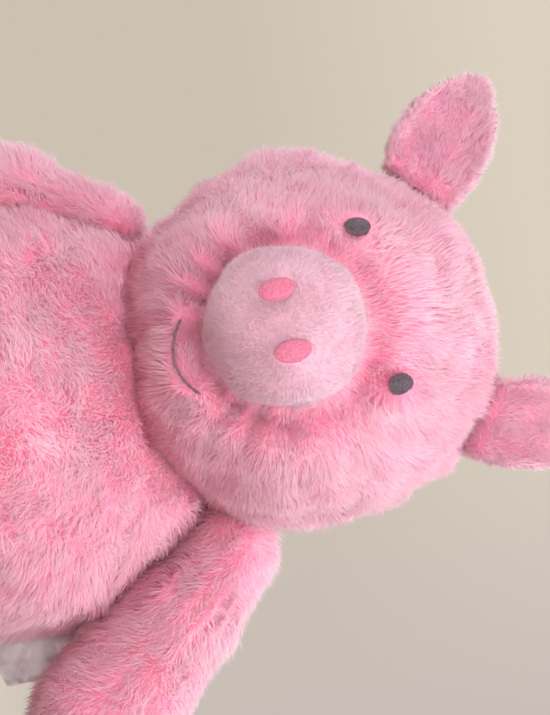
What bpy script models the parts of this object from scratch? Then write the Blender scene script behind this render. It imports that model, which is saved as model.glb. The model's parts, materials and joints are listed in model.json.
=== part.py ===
"""A stuffed plush pig that sits upright, in metres, with +Z up and facing -Y.

The origin is on the surface it sits on, under the middle of its seat. Each stuffed piece is a
skin of pile fabric, open along its sewn end, round a filling of fibre. Smaller pieces are cut to
the shape of the larger ones that they are sewn to, and moving pieces hang from an empty on their
hinge.
"""

import math

import bmesh
import bpy
from mathutils import Matrix, Vector

# Fabric and the clearance between pieces
GAP = 0.0003
FILL_GAP = 0.0006
PLUSH_THICKNESS = 0.007
SEAT_CUT = 0.0005
CUTTER_OVERRUN = 0.02

# Torso: a pear whose top is a dome centred on the neck hinge
NECK_HEIGHT = 0.108
DOME_HALF_WIDTH = 0.084
DOME_RADIUS = 0.054
DOME_FOOT_SHARE = 0.4074
TORSO_HALF_WIDTH = 0.090
TORSO_HALF_DEPTH = 0.072
TORSO_WIDEST_HEIGHT = 0.080
TORSO_FULLNESS = 3.0
NECK_OPENING_RADIUS = 0.022
NECK_OPENING_FORWARD = 0.006

# Head, which leans a little to the pig's right
HEAD_RISE = 0.102
HEAD_FORWARD = 0.018
HEAD_HALF_WIDTH = 0.075
HEAD_HALF_HEIGHT = 0.074
HEAD_HALF_DEPTH = 0.066
HEAD_LEAN = math.radians(5)
CHEEK_SHARE = 0.03

# Snout
SNOUT_RADIUS = 0.029
SNOUT_DROP = 0.009
SNOUT_REACH = 0.022
SNOUT_DEPTH = 0.060
SNOUT_PILE = 0.004
SNOUT_FULLNESS = 4.0

# Stitched face
EYE_SPACING = 0.060
EYE_RISE = 0.026
EYE_HALF_WIDTH = 0.004
EYE_HALF_HEIGHT = 0.005
NOSTRIL_SPACING = 0.022
NOSTRIL_HALF_WIDTH = 0.004
NOSTRIL_HALF_HEIGHT = 0.0065
STITCH_HEIGHT = 0.0016
MOUTH_WIDTH = 0.028
MOUTH_SAG = 0.006
MOUTH_DROP = 0.051
MOUTH_THREAD_RADIUS = 0.0010
MOUTH_POINTS = 13

# Ears, each a cupped leaf on a rolled root
EAR_ANGLE = math.radians(40)
EAR_LENGTH = 0.050
EAR_HALF_WIDTH = 0.0210
EAR_HALF_THICKNESS = 0.0042
EAR_CUP = 0.016
EAR_TAPER = 2.2
EAR_ROOT_RADIUS = 0.0045
EAR_ROOT_LENGTH = 0.033
EAR_SPLAYS = {"left": math.radians(24), "right": math.radians(44)}
EAR_LINING_THICKNESS = 0.0016
EAR_LINING_START_SHARE = 0.14
EAR_LINING_LENGTH_SHARE = 0.76
EAR_LINING_WIDTH_SHARE = 0.82

# Arms, plumper towards the paws, which lie as they fell: the left one higher and further forward
SHOULDER_HEIGHTS = {"left": 0.159, "right": 0.127}
SHOULDER_INSET = 0.020
ARM_RADIUS = 0.0275
ARM_LENGTH = 0.110
ARM_ROOT_LENGTH = 0.024
ARM_DROPS = {"left": math.radians(45), "right": math.radians(63)}
ARM_FORWARDS = {"left": math.radians(12), "right": math.radians(6)}
ARM_TAPER_SHARE = 0.24
ARM_HEAD_CLEARANCE = 0.006
SEAM_STEPS = 720
LIMB_FULLNESS = 2.7

# Legs
HIP_HALF_WIDTH = 0.040
HIP_FORWARD = 0.020
LEG_RADIUS = 0.0315
LEG_LENGTH = 0.125
LEG_ROOT_LENGTH = 0.020
LEG_SPREAD = math.radians(25)
LEG_TAPER_SHARE = 0.06
SOLE_RADIUS = 0.021
SOLE_THICKNESS = 0.002

# Tail, a curl behind the seat
TAIL_HEIGHT = 0.060
TAIL_RADIUS = 0.0068
TAIL_TIP_SHARE = 0.55
TAIL_COIL_RADIUS = 0.012
TAIL_STEM = 0.014
TAIL_TURNS = 1.25
TAIL_PITCH = 0.019
TAIL_WIDEN_SHARE = 0.4
TAIL_SEAT_LIFT = 0.002
TAIL_POINTS = 34

# Side label, a folded ribbon in the left seam
LABEL_WIDTH = 0.032
LABEL_REACH = 0.022
LABEL_THICKNESS = 0.0010
LABEL_FOLD_RADIUS = 0.0010
LABEL_HEIGHT = 0.078
LABEL_BACK = 0.022
LABEL_STEPS = 12

# Colours, linear RGB
PLUSH_COLOUR = (0.86, 0.38, 0.50)
SNOUT_COLOUR = (0.79, 0.48, 0.56)
LINING_COLOUR = (0.74, 0.26, 0.38)
NOSTRIL_COLOUR = (0.62, 0.20, 0.30)
THREAD_COLOUR = (0.03, 0.02, 0.03)
FIBRE_COLOUR = (0.90, 0.89, 0.87)
LABEL_COLOUR = (0.72, 0.71, 0.72)

# Facets round the soft forms
BODY_SEGMENTS, BODY_RINGS = 30, 18
FILL_SEGMENTS, FILL_RINGS = 22, 14
LIMB_SEGMENTS, LIMB_RINGS = 18, 12
LIMB_FILL_SEGMENTS, LIMB_FILL_RINGS = 12, 9
SMALL_SEGMENTS, SMALL_RINGS = 14, 8
LEAF_RINGS = 12
ROOT_SEGMENTS = 16

UP = Vector((0, 0, 1))
FRONT = Vector((0, -1, 0))
NECK = Vector((0, 0, NECK_HEIGHT))
SIDES = {"left": 1, "right": -1}


def clear_scene():
    """Start from an empty scene."""
    for thing in list(bpy.data.objects):
        bpy.data.objects.remove(thing, do_unlink=True)


def new_collection(name):
    """A collection linked to the scene."""
    collection = bpy.data.collections.new(name)
    bpy.context.scene.collection.children.link(collection)
    return collection


def new_material(name, colour, roughness):
    """A plain Principled material."""
    material = bpy.data.materials.new(name)
    material.use_nodes = True
    shader = material.node_tree.nodes["Principled BSDF"]
    shader.inputs["Base Color"].default_value = (*colour, 1)
    shader.inputs["Roughness"].default_value = roughness
    shader.inputs["Metallic"].default_value = 0
    return material


clear_scene()
PIECES = new_collection("plush_pig")
CUTTERS = new_collection("cutters")


def add_piece(name, mesh, colour, roughness=0.95):
    """A visible piece of the pig, with a material of its own."""
    mesh.materials.append(new_material(name, colour, roughness))
    piece = bpy.data.objects.new(name, mesh)
    PIECES.objects.link(piece)
    return piece


def add_cutter(name, mesh):
    """A hidden shape that only cuts or joins others."""
    cutter = bpy.data.objects.new(name, mesh)
    cutter.hide_render = True
    cutter.display_type = "WIRE"
    CUTTERS.objects.link(cutter)
    return cutter


def combine(piece, other, operation):
    """Cut, join or intersect a piece with another shape."""
    modifier = piece.modifiers.new(f"{operation.lower()}_{other.name}", "BOOLEAN")
    modifier.operation = operation
    modifier.object = other
    modifier.solver = "EXACT"


def mesh_from(name, shape):
    """Close a bmesh into a smooth-shaded mesh."""
    shape.normal_update()
    bmesh.ops.recalc_face_normals(shape, faces=shape.faces)
    mesh = bpy.data.meshes.new(name)
    shape.to_mesh(mesh)
    shape.free()
    mesh.shade_smooth()
    return mesh


def ball_mesh(name, segments, rings, place):
    """A unit ball with each point moved to its place on a soft form."""
    shape = bmesh.new()
    bmesh.ops.create_uvsphere(shape, u_segments=segments, v_segments=rings, radius=1)
    for vertex in shape.verts:
        vertex.co = place(vertex.co.copy())
    return mesh_from(name, shape)


def block_mesh(name, low, high):
    """A block between two corners."""
    shape = bmesh.new()
    bmesh.ops.create_cube(shape, size=1)
    for vertex in shape.verts:
        share = vertex.co + Vector((1, 1, 1)) / 2
        vertex.co = Vector(a + (b - a) * s for a, b, s in zip(low, high, share))
    return mesh_from(name, shape)


def cylinder_mesh(name, radius, length, segments, frame):
    """A cylinder along its own Z, from its base at the frame's origin."""
    shape = bmesh.new()
    bmesh.ops.create_cone(
        shape,
        cap_ends=True,
        segments=segments,
        radius1=radius,
        radius2=radius,
        depth=length,
        matrix=frame @ Matrix.Translation(UP * length / 2),
    )
    return mesh_from(name, shape)


def frame_at(origin, z_axis, x_axis):
    """A right-handed frame with Z along one direction and X near another."""
    z_axis = z_axis.normalized()
    y_axis = z_axis.cross(x_axis).normalized()
    x_axis = y_axis.cross(z_axis)
    turn = Matrix((x_axis, y_axis, z_axis)).transposed().to_4x4()
    return Matrix.Translation(origin) @ turn


def plump(share, fullness):
    """How wide a plump form still is at a share of its half length."""
    return (1 - min(abs(share), 1) ** fullness) ** (1 / fullness)


def round_direction(unit):
    """The direction of a ball's point round its pole axis."""
    flat = Vector((unit.x, unit.y))
    return flat.normalized() if flat.length > GAP else Vector((0, 0))


# Torso


def dome_point(unit, grow):
    """A point of the dome that the head rests on, grown or shrunk."""
    radius = DOME_RADIUS + grow
    half_width = DOME_HALF_WIDTH + grow
    return NECK + Vector((unit.x * half_width, unit.y * radius, unit.z * radius))


def flank(height, widest, dome_half, grow):
    """Half the torso's width or depth at a height."""
    radius = DOME_RADIUS + grow
    stretch = (dome_half + grow) / radius
    above = min((height - NECK_HEIGHT) / radius, 1)
    foot_rise = DOME_FOOT_SHARE * DOME_RADIUS
    if height >= NECK_HEIGHT + foot_rise:
        return stretch * radius * math.sqrt(1 - above**2)
    if height <= TORSO_WIDEST_HEIGHT:
        below = (TORSO_WIDEST_HEIGHT - height) / (TORSO_WIDEST_HEIGHT + SEAT_CUT + grow)
        return (widest + grow) * plump(below, TORSO_FULLNESS)
    foot_above = foot_rise / radius
    foot_half = stretch * radius * math.sqrt(1 - foot_above**2)
    foot_slope = -stretch * foot_above / math.sqrt(1 - foot_above**2)
    rise = NECK_HEIGHT + foot_rise - TORSO_WIDEST_HEIGHT
    share = (height - TORSO_WIDEST_HEIGHT) / rise
    ease = share**2 * (3 - 2 * share)
    lean_in = (share**3 - share**2) * rise * foot_slope
    return (widest + grow) * (1 - ease) + foot_half * ease + lean_in


def torso_point(unit, grow):
    """A point of the torso's surface, grown or shrunk."""
    top = NECK_HEIGHT + DOME_RADIUS + grow
    bottom = -SEAT_CUT - grow
    reach = top - TORSO_WIDEST_HEIGHT if unit.z > 0 else TORSO_WIDEST_HEIGHT - bottom
    height = TORSO_WIDEST_HEIGHT + unit.z * reach
    around = round_direction(unit)
    half_width = flank(height, TORSO_HALF_WIDTH, DOME_HALF_WIDTH, grow)
    half_depth = flank(height, TORSO_HALF_DEPTH, DOME_RADIUS, grow)
    return Vector((around.x * half_width, around.y * half_depth, height))


def torso_mesh(name, grow, segments=BODY_SEGMENTS, rings=BODY_RINGS):
    """The torso's form, grown or shrunk."""
    return ball_mesh(name, segments, rings, lambda unit: torso_point(unit, grow))


def facet_allowance(segments, size):
    """How far a flat facet falls inside the round that it stands for."""
    return size * (1 - math.cos(math.pi / segments))


FLOOR = add_cutter(
    "floor",
    block_mesh(
        "floor",
        (-TORSO_HALF_WIDTH - LEG_LENGTH, -TORSO_HALF_DEPTH - LEG_LENGTH, -CUTTER_OVERRUN),
        (TORSO_HALF_WIDTH + LEG_LENGTH, TORSO_HALF_DEPTH + LEG_LENGTH, 0),
    ),
)
TORSO_SEAT = add_cutter("torso_seat", torso_mesh("torso_seat", GAP))
DOME_SEAT = add_cutter(
    "dome_seat",
    ball_mesh(
        "dome_seat",
        BODY_SEGMENTS,
        BODY_RINGS,
        lambda unit: dome_point(unit, GAP + 2 * facet_allowance(BODY_SEGMENTS, DOME_RADIUS)),
    ),
)


def make_torso():
    """The body cover, open at the neck, and its filling, which bulges through the opening."""
    skin = add_piece("torso_skin", torso_mesh("torso_skin", 0), PLUSH_COLOUR)
    hollow = torso_mesh("torso_hollow", -PLUSH_THICKNESS, FILL_SEGMENTS, FILL_RINGS)
    combine(skin, add_cutter("torso_hollow", hollow), "DIFFERENCE")
    opening_base = Matrix.Translation(NECK + FRONT * NECK_OPENING_FORWARD)
    opening_length = DOME_RADIUS + CUTTER_OVERRUN
    opening = cylinder_mesh(
        "neck_opening", NECK_OPENING_RADIUS, opening_length, FILL_SEGMENTS, opening_base
    )
    combine(skin, add_cutter("neck_opening", opening), "DIFFERENCE")
    combine(skin, FLOOR, "DIFFERENCE")

    inset = -PLUSH_THICKNESS - FILL_GAP
    fill = add_piece(
        "torso_fill", torso_mesh("torso_fill", inset, FILL_SEGMENTS, FILL_RINGS), FIBRE_COLOUR
    )
    plug = cylinder_mesh(
        "neck_plug", NECK_OPENING_RADIUS - GAP, opening_length, FILL_SEGMENTS, opening_base
    )
    plug = add_cutter("neck_plug", plug)
    combine(plug, add_cutter("torso_form", torso_mesh("torso_form", 0)), "INTERSECT")
    combine(fill, plug, "UNION")
    return [skin, fill]


# Head

HEAD_CENTRE = NECK + FRONT * HEAD_FORWARD + UP * HEAD_RISE
LEAN = Matrix.Translation(NECK) @ Matrix.Rotation(-HEAD_LEAN, 4, "Y") @ Matrix.Translation(-NECK)


def head_upright(unit, grow):
    """A point of the head's surface before it leans."""
    cheeks = 1 - CHEEK_SHARE * unit.z
    across = unit.x * (HEAD_HALF_WIDTH + grow) * cheeks
    forward = unit.y * (HEAD_HALF_DEPTH + grow)
    return HEAD_CENTRE + Vector((across, forward, unit.z * (HEAD_HALF_HEIGHT + grow)))


def head_front(across, rise, grow=0):
    """The point of the head's face at a distance across and up from its centre."""
    up_share = rise / (HEAD_HALF_HEIGHT + grow)
    across_share = across / ((HEAD_HALF_WIDTH + grow) * (1 - CHEEK_SHARE * up_share))
    unit = Vector((across_share, 0, up_share))
    unit.y = -math.sqrt(1 - unit.length_squared)
    return head_upright(unit, grow)


def face_normal(across, rise):
    """The direction that the face looks in at a point."""
    point = head_front(across, rise) - HEAD_CENTRE
    sizes = (HEAD_HALF_WIDTH, HEAD_HALF_DEPTH, HEAD_HALF_HEIGHT)
    return Vector(p / s**2 for p, s in zip(point, sizes)).normalized()


def head_mesh(name, grow, segments=BODY_SEGMENTS, rings=BODY_RINGS):
    """The head's form, grown or shrunk."""
    mesh = ball_mesh(name, segments, rings, lambda unit: head_upright(unit, grow))
    mesh.transform(LEAN)
    return mesh


HEAD_SEAT = add_cutter("head_seat", head_mesh("head_seat", GAP))


def make_head():
    """The head cover, open over the dome, and its filling."""
    skin = add_piece("head_skin", head_mesh("head_skin", 0), PLUSH_COLOUR)
    hollow = head_mesh("head_hollow", -PLUSH_THICKNESS, FILL_SEGMENTS, FILL_RINGS)
    combine(skin, add_cutter("head_hollow", hollow), "DIFFERENCE")
    combine(skin, DOME_SEAT, "DIFFERENCE")
    inset = -PLUSH_THICKNESS - FILL_GAP
    fill = add_piece(
        "head_fill", head_mesh("head_fill", inset, FILL_SEGMENTS, FILL_RINGS), FIBRE_COLOUR
    )
    combine(fill, DOME_SEAT, "DIFFERENCE")
    return [skin, fill]


# Snout

SNOUT_FACE = head_front(0, -SNOUT_DROP) + FRONT * SNOUT_REACH
SNOUT_FRAME = frame_at(SNOUT_FACE - FRONT * SNOUT_DEPTH / 2, FRONT, Vector((1, 0, 0)))


def snout_point(unit, grow):
    """A point of the snout's rounded disc before it leans with the head."""
    radius = (SNOUT_RADIUS + grow) * plump(unit.z, SNOUT_FULLNESS)
    around = round_direction(unit) * radius
    half_depth = SNOUT_DEPTH / 2 + grow
    return SNOUT_FRAME @ Vector((around.x, around.y, unit.z * half_depth))


def snout_mesh(name, grow, segments, rings):
    """The snout's form, grown or shrunk."""
    mesh = ball_mesh(name, segments, rings, lambda unit: snout_point(unit, grow))
    mesh.transform(LEAN)
    return mesh


SNOUT_SEAT = add_cutter(
    "snout_seat", snout_mesh("snout_seat", GAP, FILL_SEGMENTS, FILL_RINGS)
)


def make_snout():
    """The short-pile snout cover, open against the head, and its filling."""
    skin = snout_mesh("snout_skin", 0, FILL_SEGMENTS, FILL_RINGS)
    skin = add_piece("snout_skin", skin, SNOUT_COLOUR)
    hollow = snout_mesh("snout_hollow", -SNOUT_PILE, FILL_SEGMENTS, FILL_RINGS)
    combine(skin, add_cutter("snout_hollow", hollow), "DIFFERENCE")
    combine(skin, HEAD_SEAT, "DIFFERENCE")
    fill = snout_mesh("snout_fill", -SNOUT_PILE - FILL_GAP, FILL_SEGMENTS, FILL_RINGS)
    fill = add_piece("snout_fill", fill, FIBRE_COLOUR)
    combine(fill, HEAD_SEAT, "DIFFERENCE")
    return [skin, fill]


# Stitched face


def stitched_oval(name, centre, normal, half_width, half_height, colour, seat):
    """A padded oval of satin stitch that lies on a larger form."""
    frame = LEAN @ frame_at(centre, normal, Vector((1, 0, 0)))
    sizes = Matrix.Diagonal((half_width, half_height, STITCH_HEIGHT, 1))
    mesh = ball_mesh(name, SMALL_SEGMENTS, SMALL_RINGS, lambda unit: frame @ sizes @ unit)
    oval = add_piece(name, mesh, colour, roughness=0.6)
    combine(oval, seat, "DIFFERENCE")
    return oval


def make_eyes():
    """Two plain oval eyes."""
    eyes = []
    for side, sign in SIDES.items():
        across = sign * EYE_SPACING / 2
        eyes.append(
            stitched_oval(
                f"eye_{side}",
                head_front(across, EYE_RISE),
                face_normal(across, EYE_RISE),
                EYE_HALF_WIDTH,
                EYE_HALF_HEIGHT,
                THREAD_COLOUR,
                HEAD_SEAT,
            )
        )
    return eyes


def make_nostrils():
    """Two plain oval nostrils on the snout's front."""
    nostrils = []
    for side, sign in SIDES.items():
        across = sign * NOSTRIL_SPACING / 2
        share = plump(across / SNOUT_RADIUS, SNOUT_FULLNESS)
        centre = SNOUT_FRAME @ Vector((across, 0, share * SNOUT_DEPTH / 2))
        nostrils.append(
            stitched_oval(
                f"nostril_{side}",
                centre,
                FRONT,
                NOSTRIL_HALF_WIDTH,
                NOSTRIL_HALF_HEIGHT,
                NOSTRIL_COLOUR,
                SNOUT_SEAT,
            )
        )
    return nostrils


def tube_mesh(name, points, radii, sides_resolution):
    """A capped tube along points, as a closed mesh."""
    curve = bpy.data.curves.new(name, "CURVE")
    curve.dimensions = "3D"
    curve.bevel_depth = 1
    curve.bevel_resolution = sides_resolution
    curve.use_fill_caps = True
    spline = curve.splines.new("POLY")
    spline.points.add(len(points) - 1)
    for spot, point, radius in zip(spline.points, points, radii):
        spot.co = (*point, 1)
        spot.radius = radius
    holder = bpy.data.objects.new(name, curve)
    bpy.context.scene.collection.objects.link(holder)
    bpy.context.view_layer.update()
    solid = holder.evaluated_get(bpy.context.evaluated_depsgraph_get())
    mesh = bpy.data.meshes.new_from_object(solid)
    bpy.data.objects.remove(holder, do_unlink=True)
    shape = bmesh.new()
    shape.from_mesh(mesh)
    bmesh.ops.remove_doubles(shape, verts=shape.verts, dist=GAP / 10)
    return mesh_from(name, shape)


def make_mouth():
    """A smile in one thread that lies on the head under the snout."""
    clear = MOUTH_THREAD_RADIUS + GAP + facet_allowance(BODY_RINGS, STITCH_HEIGHT)
    points = []
    for step in range(MOUTH_POINTS):
        share = 2 * step / (MOUTH_POINTS - 1) - 1
        across = share * MOUTH_WIDTH / 2
        rise = -MOUTH_DROP + MOUTH_SAG * share**2
        points.append(head_front(across, rise, clear))
    mesh = tube_mesh("mouth_stitch", points, [MOUTH_THREAD_RADIUS] * MOUTH_POINTS, 1)
    mesh.transform(LEAN)
    return [add_piece("mouth_stitch", mesh, THREAD_COLOUR, roughness=0.6)]


# Ears


def ear_frame(sign):
    """An ear's frame on the head: X along its root, Y to the back, Z out of the head."""
    unit = Vector((sign * math.sin(EAR_ANGLE), 0, math.cos(EAR_ANGLE)))
    return LEAN @ frame_at(head_upright(unit, 0), unit, Vector((unit.z, 0, -unit.x)))


def leaf_half_width(share, grow):
    """Half an ear's width at a share of its length."""
    root = EAR_ROOT_LENGTH / 2
    swell = 4 * share * (1 - share) * (EAR_HALF_WIDTH - root)
    return (root + swell + grow) * math.sqrt(1 - share**EAR_TAPER)


def leaf_spot(across, share, through, sign, splay):
    """A spot of a cupped ear, from its place across, along and through the leaf."""
    lean = sign * math.tan(splay - EAR_ANGLE) * EAR_LENGTH * share
    cup = EAR_CUP * math.sqrt(share) * (across / EAR_HALF_WIDTH) ** 2
    return Vector((across + lean, through - cup, share * EAR_LENGTH))


def leaf_point(unit, sign, splay, grow):
    """A point of an ear's leaf, grown or shrunk, in the ear's own frame."""
    share = (1 + unit.z) / 2
    around = round_direction(unit)
    across = around.x * leaf_half_width(share, grow)
    through = around.y * (EAR_HALF_THICKNESS * math.sqrt(1 - share**4) + grow)
    return leaf_spot(across, share, through, sign, splay)


def lining_point(unit, sign, splay):
    """A point of the thin pad of short pile that lies in the ear's cup."""
    share = EAR_LINING_START_SHARE + (1 + unit.z) / 2 * EAR_LINING_LENGTH_SHARE
    width = leaf_half_width(share, 0)
    lateral = math.sqrt(1 - unit.z**2)
    across = round_direction(unit).x * width * EAR_LINING_WIDTH_SHARE * lateral
    face = EAR_HALF_THICKNESS * math.sqrt(1 - share**4) * math.sqrt(1 - (across / width) ** 2)
    through = -face + unit.y * EAR_LINING_THICKNESS
    return leaf_spot(across, share, through, sign, splay)


def make_ears():
    """Each ear is a leaf whose rolled root lies in a groove of the head, with its lining."""
    ears = {}
    for side, sign in SIDES.items():
        splay = EAR_SPLAYS[side]
        frame = ear_frame(sign)
        along_root = frame @ Matrix.Rotation(math.pi / 2, 4, "Y")
        along_root = along_root @ Matrix.Translation(-UP * EAR_ROOT_LENGTH / 2)
        root = cylinder_mesh(
            f"ear_root_{side}", EAR_ROOT_RADIUS, EAR_ROOT_LENGTH, ROOT_SEGMENTS, along_root
        )
        leaf = ball_mesh(
            f"ear_{side}",
            SMALL_SEGMENTS,
            LEAF_RINGS,
            lambda unit: frame @ leaf_point(unit, sign, splay, 0),
        )
        ear = add_piece(f"ear_{side}", leaf, PLUSH_COLOUR)
        combine(ear, add_cutter(f"ear_root_{side}", root), "UNION")
        lining = ball_mesh(
            f"ear_lining_{side}",
            SMALL_SEGMENTS,
            LEAF_RINGS,
            lambda unit: frame @ lining_point(unit, sign, splay),
        )
        lining = add_piece(f"ear_lining_{side}", lining, LINING_COLOUR)
        leaf_seat = ball_mesh(
            f"ear_seat_{side}",
            SMALL_SEGMENTS,
            LEAF_RINGS,
            lambda unit: frame @ leaf_point(unit, sign, splay, GAP),
        )
        combine(lining, add_cutter(f"ear_seat_{side}", leaf_seat), "DIFFERENCE")
        ears[side] = [ear, lining]
    return ears


def cut_ear_grooves(head_skin):
    """A groove in the head for each ear's rolled root."""
    radius = EAR_ROOT_RADIUS + GAP + facet_allowance(ROOT_SEGMENTS, EAR_ROOT_RADIUS)
    length = EAR_ROOT_LENGTH + 2 * GAP
    for side, sign in SIDES.items():
        along = ear_frame(sign) @ Matrix.Rotation(math.pi / 2, 4, "Y")
        along = along @ Matrix.Translation(-UP * length / 2)
        groove = cylinder_mesh(f"ear_groove_{side}", radius, length, ROOT_SEGMENTS, along)
        combine(head_skin, add_cutter(f"ear_groove_{side}", groove), "DIFFERENCE")


# Limbs


ARM_SIZE = (ARM_RADIUS, ARM_ROOT_LENGTH, ARM_LENGTH, ARM_TAPER_SHARE)
LEG_SIZE = (LEG_RADIUS, LEG_ROOT_LENGTH, LEG_LENGTH, LEG_TAPER_SHARE)


def limb_point(unit, frame, size, grow):
    """A point of a limb that swells along its frame's Z, from behind its root to its tip."""
    radius, root, length, taper = size
    half = (root + length) / 2 + grow
    middle = (length - root) / 2
    wide = radius * (1 + taper * unit.z) + grow
    around = round_direction(unit) * wide * plump(unit.z, LIMB_FULLNESS)
    return frame @ Vector((around.x, around.y, middle + unit.z * half))


def limb_mesh(name, frame, size, grow, segments=LIMB_SEGMENTS, rings=LIMB_RINGS):
    """A limb's form, grown or shrunk."""
    return ball_mesh(name, segments, rings, lambda unit: limb_point(unit, frame, size, grow))


def make_limb(kind, side, frame, size, cutters):
    """A limb's cover, open where it is sewn on, and its filling, cut by the larger pieces."""
    skin_name, fill_name = f"{kind}_skin_{side}", f"{kind}_fill_{side}"
    few = (LIMB_FILL_SEGMENTS, LIMB_FILL_RINGS)
    skin = add_piece(skin_name, limb_mesh(skin_name, frame, size, 0), PLUSH_COLOUR)
    hollow_name = f"{kind}_hollow_{side}"
    hollow = limb_mesh(hollow_name, frame, size, -PLUSH_THICKNESS, *few)
    combine(skin, add_cutter(hollow_name, hollow), "DIFFERENCE")
    fill = limb_mesh(fill_name, frame, size, -PLUSH_THICKNESS - FILL_GAP, *few)
    fill = add_piece(fill_name, fill, FIBRE_COLOUR)
    for cutter in cutters:
        combine(skin, cutter, "DIFFERENCE")
        combine(fill, cutter, "DIFFERENCE")
    return [skin, fill]


def arm_frame(side):
    """An arm's frame: its origin at the shoulder and Z towards the paw."""
    drop, forward = ARM_DROPS[side], ARM_FORWARDS[side]
    level = math.cos(drop)
    out = SIDES[side] * level * math.cos(forward)
    towards = Vector((out, -level * math.sin(forward), -math.sin(drop)))
    half_width = TORSO_HALF_WIDTH - SHOULDER_INSET
    shoulder = Vector((SIDES[side] * half_width, 0, SHOULDER_HEIGHTS[side]))
    return frame_at(shoulder, towards, FRONT)


def make_arms():
    """Two stuffed arms, sewn on at the shoulders, with room under the head to rise."""
    head_room = add_cutter("head_room", head_mesh("head_room", ARM_HEAD_CLEARANCE))
    cutters = [TORSO_SEAT, head_room]
    return {
        side: make_limb("arm", side, arm_frame(side), ARM_SIZE, cutters) for side in SIDES
    }


def inside_torso(point):
    """Whether a point lies in the torso."""
    half_width = flank(point.z, TORSO_HALF_WIDTH, DOME_HALF_WIDTH, 0)
    half_depth = flank(point.z, TORSO_HALF_DEPTH, DOME_RADIUS, 0)
    if min(half_width, half_depth) <= 0:
        return False
    return (point.x / half_width) ** 2 + (point.y / half_depth) ** 2 < 1


def shoulder_hinge(side):
    """The top of the shoulder seam, about which an arm rises."""
    frame = arm_frame(side)
    outline = []
    for step in range(SEAM_STEPS):
        turn = 2 * math.pi * step / SEAM_STEPS
        unit = Vector((0, math.sin(turn), math.cos(turn)))
        outline.append(limb_point(unit, frame, ARM_SIZE, 0))
    seam_top = max((point for point in outline if inside_torso(point)), key=lambda p: p.z)
    return Vector((seam_top.x, 0, seam_top.z))


def leg_direction(sign):
    """The way a leg points."""
    return Vector((sign * math.sin(LEG_SPREAD), -math.cos(LEG_SPREAD), 0))


def leg_frame(sign):
    """A leg's frame: its origin at the hip and Z towards the foot."""
    hip = Vector((sign * HIP_HALF_WIDTH, -HIP_FORWARD, LEG_RADIUS - SEAT_CUT))
    return frame_at(hip, leg_direction(sign), UP)


def make_legs():
    """Two stuffed legs that lie forward on the floor, with short-pile soles."""
    legs = {}
    for side, sign in SIDES.items():
        frame = leg_frame(sign)
        pieces = make_limb("leg", side, frame, LEG_SIZE, [TORSO_SEAT, FLOOR])
        sole = limb_mesh(f"sole_{side}", frame, LEG_SIZE, SOLE_THICKNESS)
        sole = add_piece(f"sole_{side}", sole, SNOUT_COLOUR)
        toe = frame @ Matrix.Translation(UP * (LEG_LENGTH - SOLE_RADIUS))
        disc = cylinder_mesh(f"sole_disc_{side}", SOLE_RADIUS, LEG_LENGTH, FILL_SEGMENTS, toe)
        combine(sole, add_cutter(f"sole_disc_{side}", disc), "INTERSECT")
        foot = limb_mesh(f"foot_seat_{side}", frame, LEG_SIZE, GAP)
        combine(sole, add_cutter(f"foot_seat_{side}", foot), "DIFFERENCE")
        legs[side] = [*pieces, sole]
    return legs


def hip_hinge(sign):
    """The top of the hip seam, where the leg's upper side meets the belly."""
    height = 2 * LEG_RADIUS - SEAT_CUT
    half_width = flank(height, TORSO_HALF_WIDTH, DOME_HALF_WIDTH, 0)
    half_depth = flank(height, TORSO_HALF_DEPTH, DOME_RADIUS, 0)
    hip, way = leg_frame(sign).translation, leg_direction(sign)
    start = Vector((hip.x / half_width, hip.y / half_depth))
    step = Vector((way.x / half_width, way.y / half_depth))
    ahead = start.dot(step) / step.length_squared
    inside = (1 - start.length_squared) / step.length_squared
    reach = math.sqrt(ahead**2 + inside) - ahead
    return Vector((hip.x + way.x * reach, hip.y + way.y * reach, height))


# Tail

TAIL_PIVOT = Vector(
    (0, flank(TAIL_HEIGHT, TORSO_HALF_DEPTH, DOME_RADIUS, 0) + TAIL_SEAT_LIFT, TAIL_HEIGHT)
)


def small_ball(name, centre, radius):
    """A plain ball."""
    return ball_mesh(name, SMALL_SEGMENTS, SMALL_RINGS, lambda unit: centre + unit * radius)


def tail_path():
    """A curl that winds outwards from the root and runs backwards."""
    points, radii = [], []
    for step in range(TAIL_POINTS):
        share = step / (TAIL_POINTS - 1)
        turn = 2 * math.pi * TAIL_TURNS * share
        widen = min(share / TAIL_WIDEN_SHARE, 1)
        coil = TAIL_COIL_RADIUS * widen**2 * (3 - 2 * widen)
        back = TAIL_STEM * widen + TAIL_PITCH * TAIL_TURNS * share
        points.append(TAIL_PIVOT + Vector((coil * math.sin(turn), back, -coil * math.cos(turn))))
        radii.append(TAIL_RADIUS * (1 - (1 - TAIL_TIP_SHARE) * share))
    return points, radii


def make_tail(torso_skin):
    """A stuffed curl whose round root sits in a dimple of the body."""
    points, radii = tail_path()
    tail = add_piece("tail", tube_mesh("tail", points, radii, 2), PLUSH_COLOUR)
    root = small_ball("tail_root", TAIL_PIVOT, TAIL_RADIUS)
    combine(tail, add_cutter("tail_root", root), "UNION")
    tip = small_ball("tail_tip", points[-1], radii[-1])
    combine(tail, add_cutter("tail_tip", tip), "UNION")
    clear = TAIL_RADIUS + GAP + 2 * facet_allowance(SMALL_SEGMENTS, TAIL_RADIUS)
    dimple = add_cutter("tail_dimple", small_ball("tail_dimple", TAIL_PIVOT, clear))
    combine(torso_skin, dimple, "DIFFERENCE")
    return [tail]


# Side label


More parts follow.
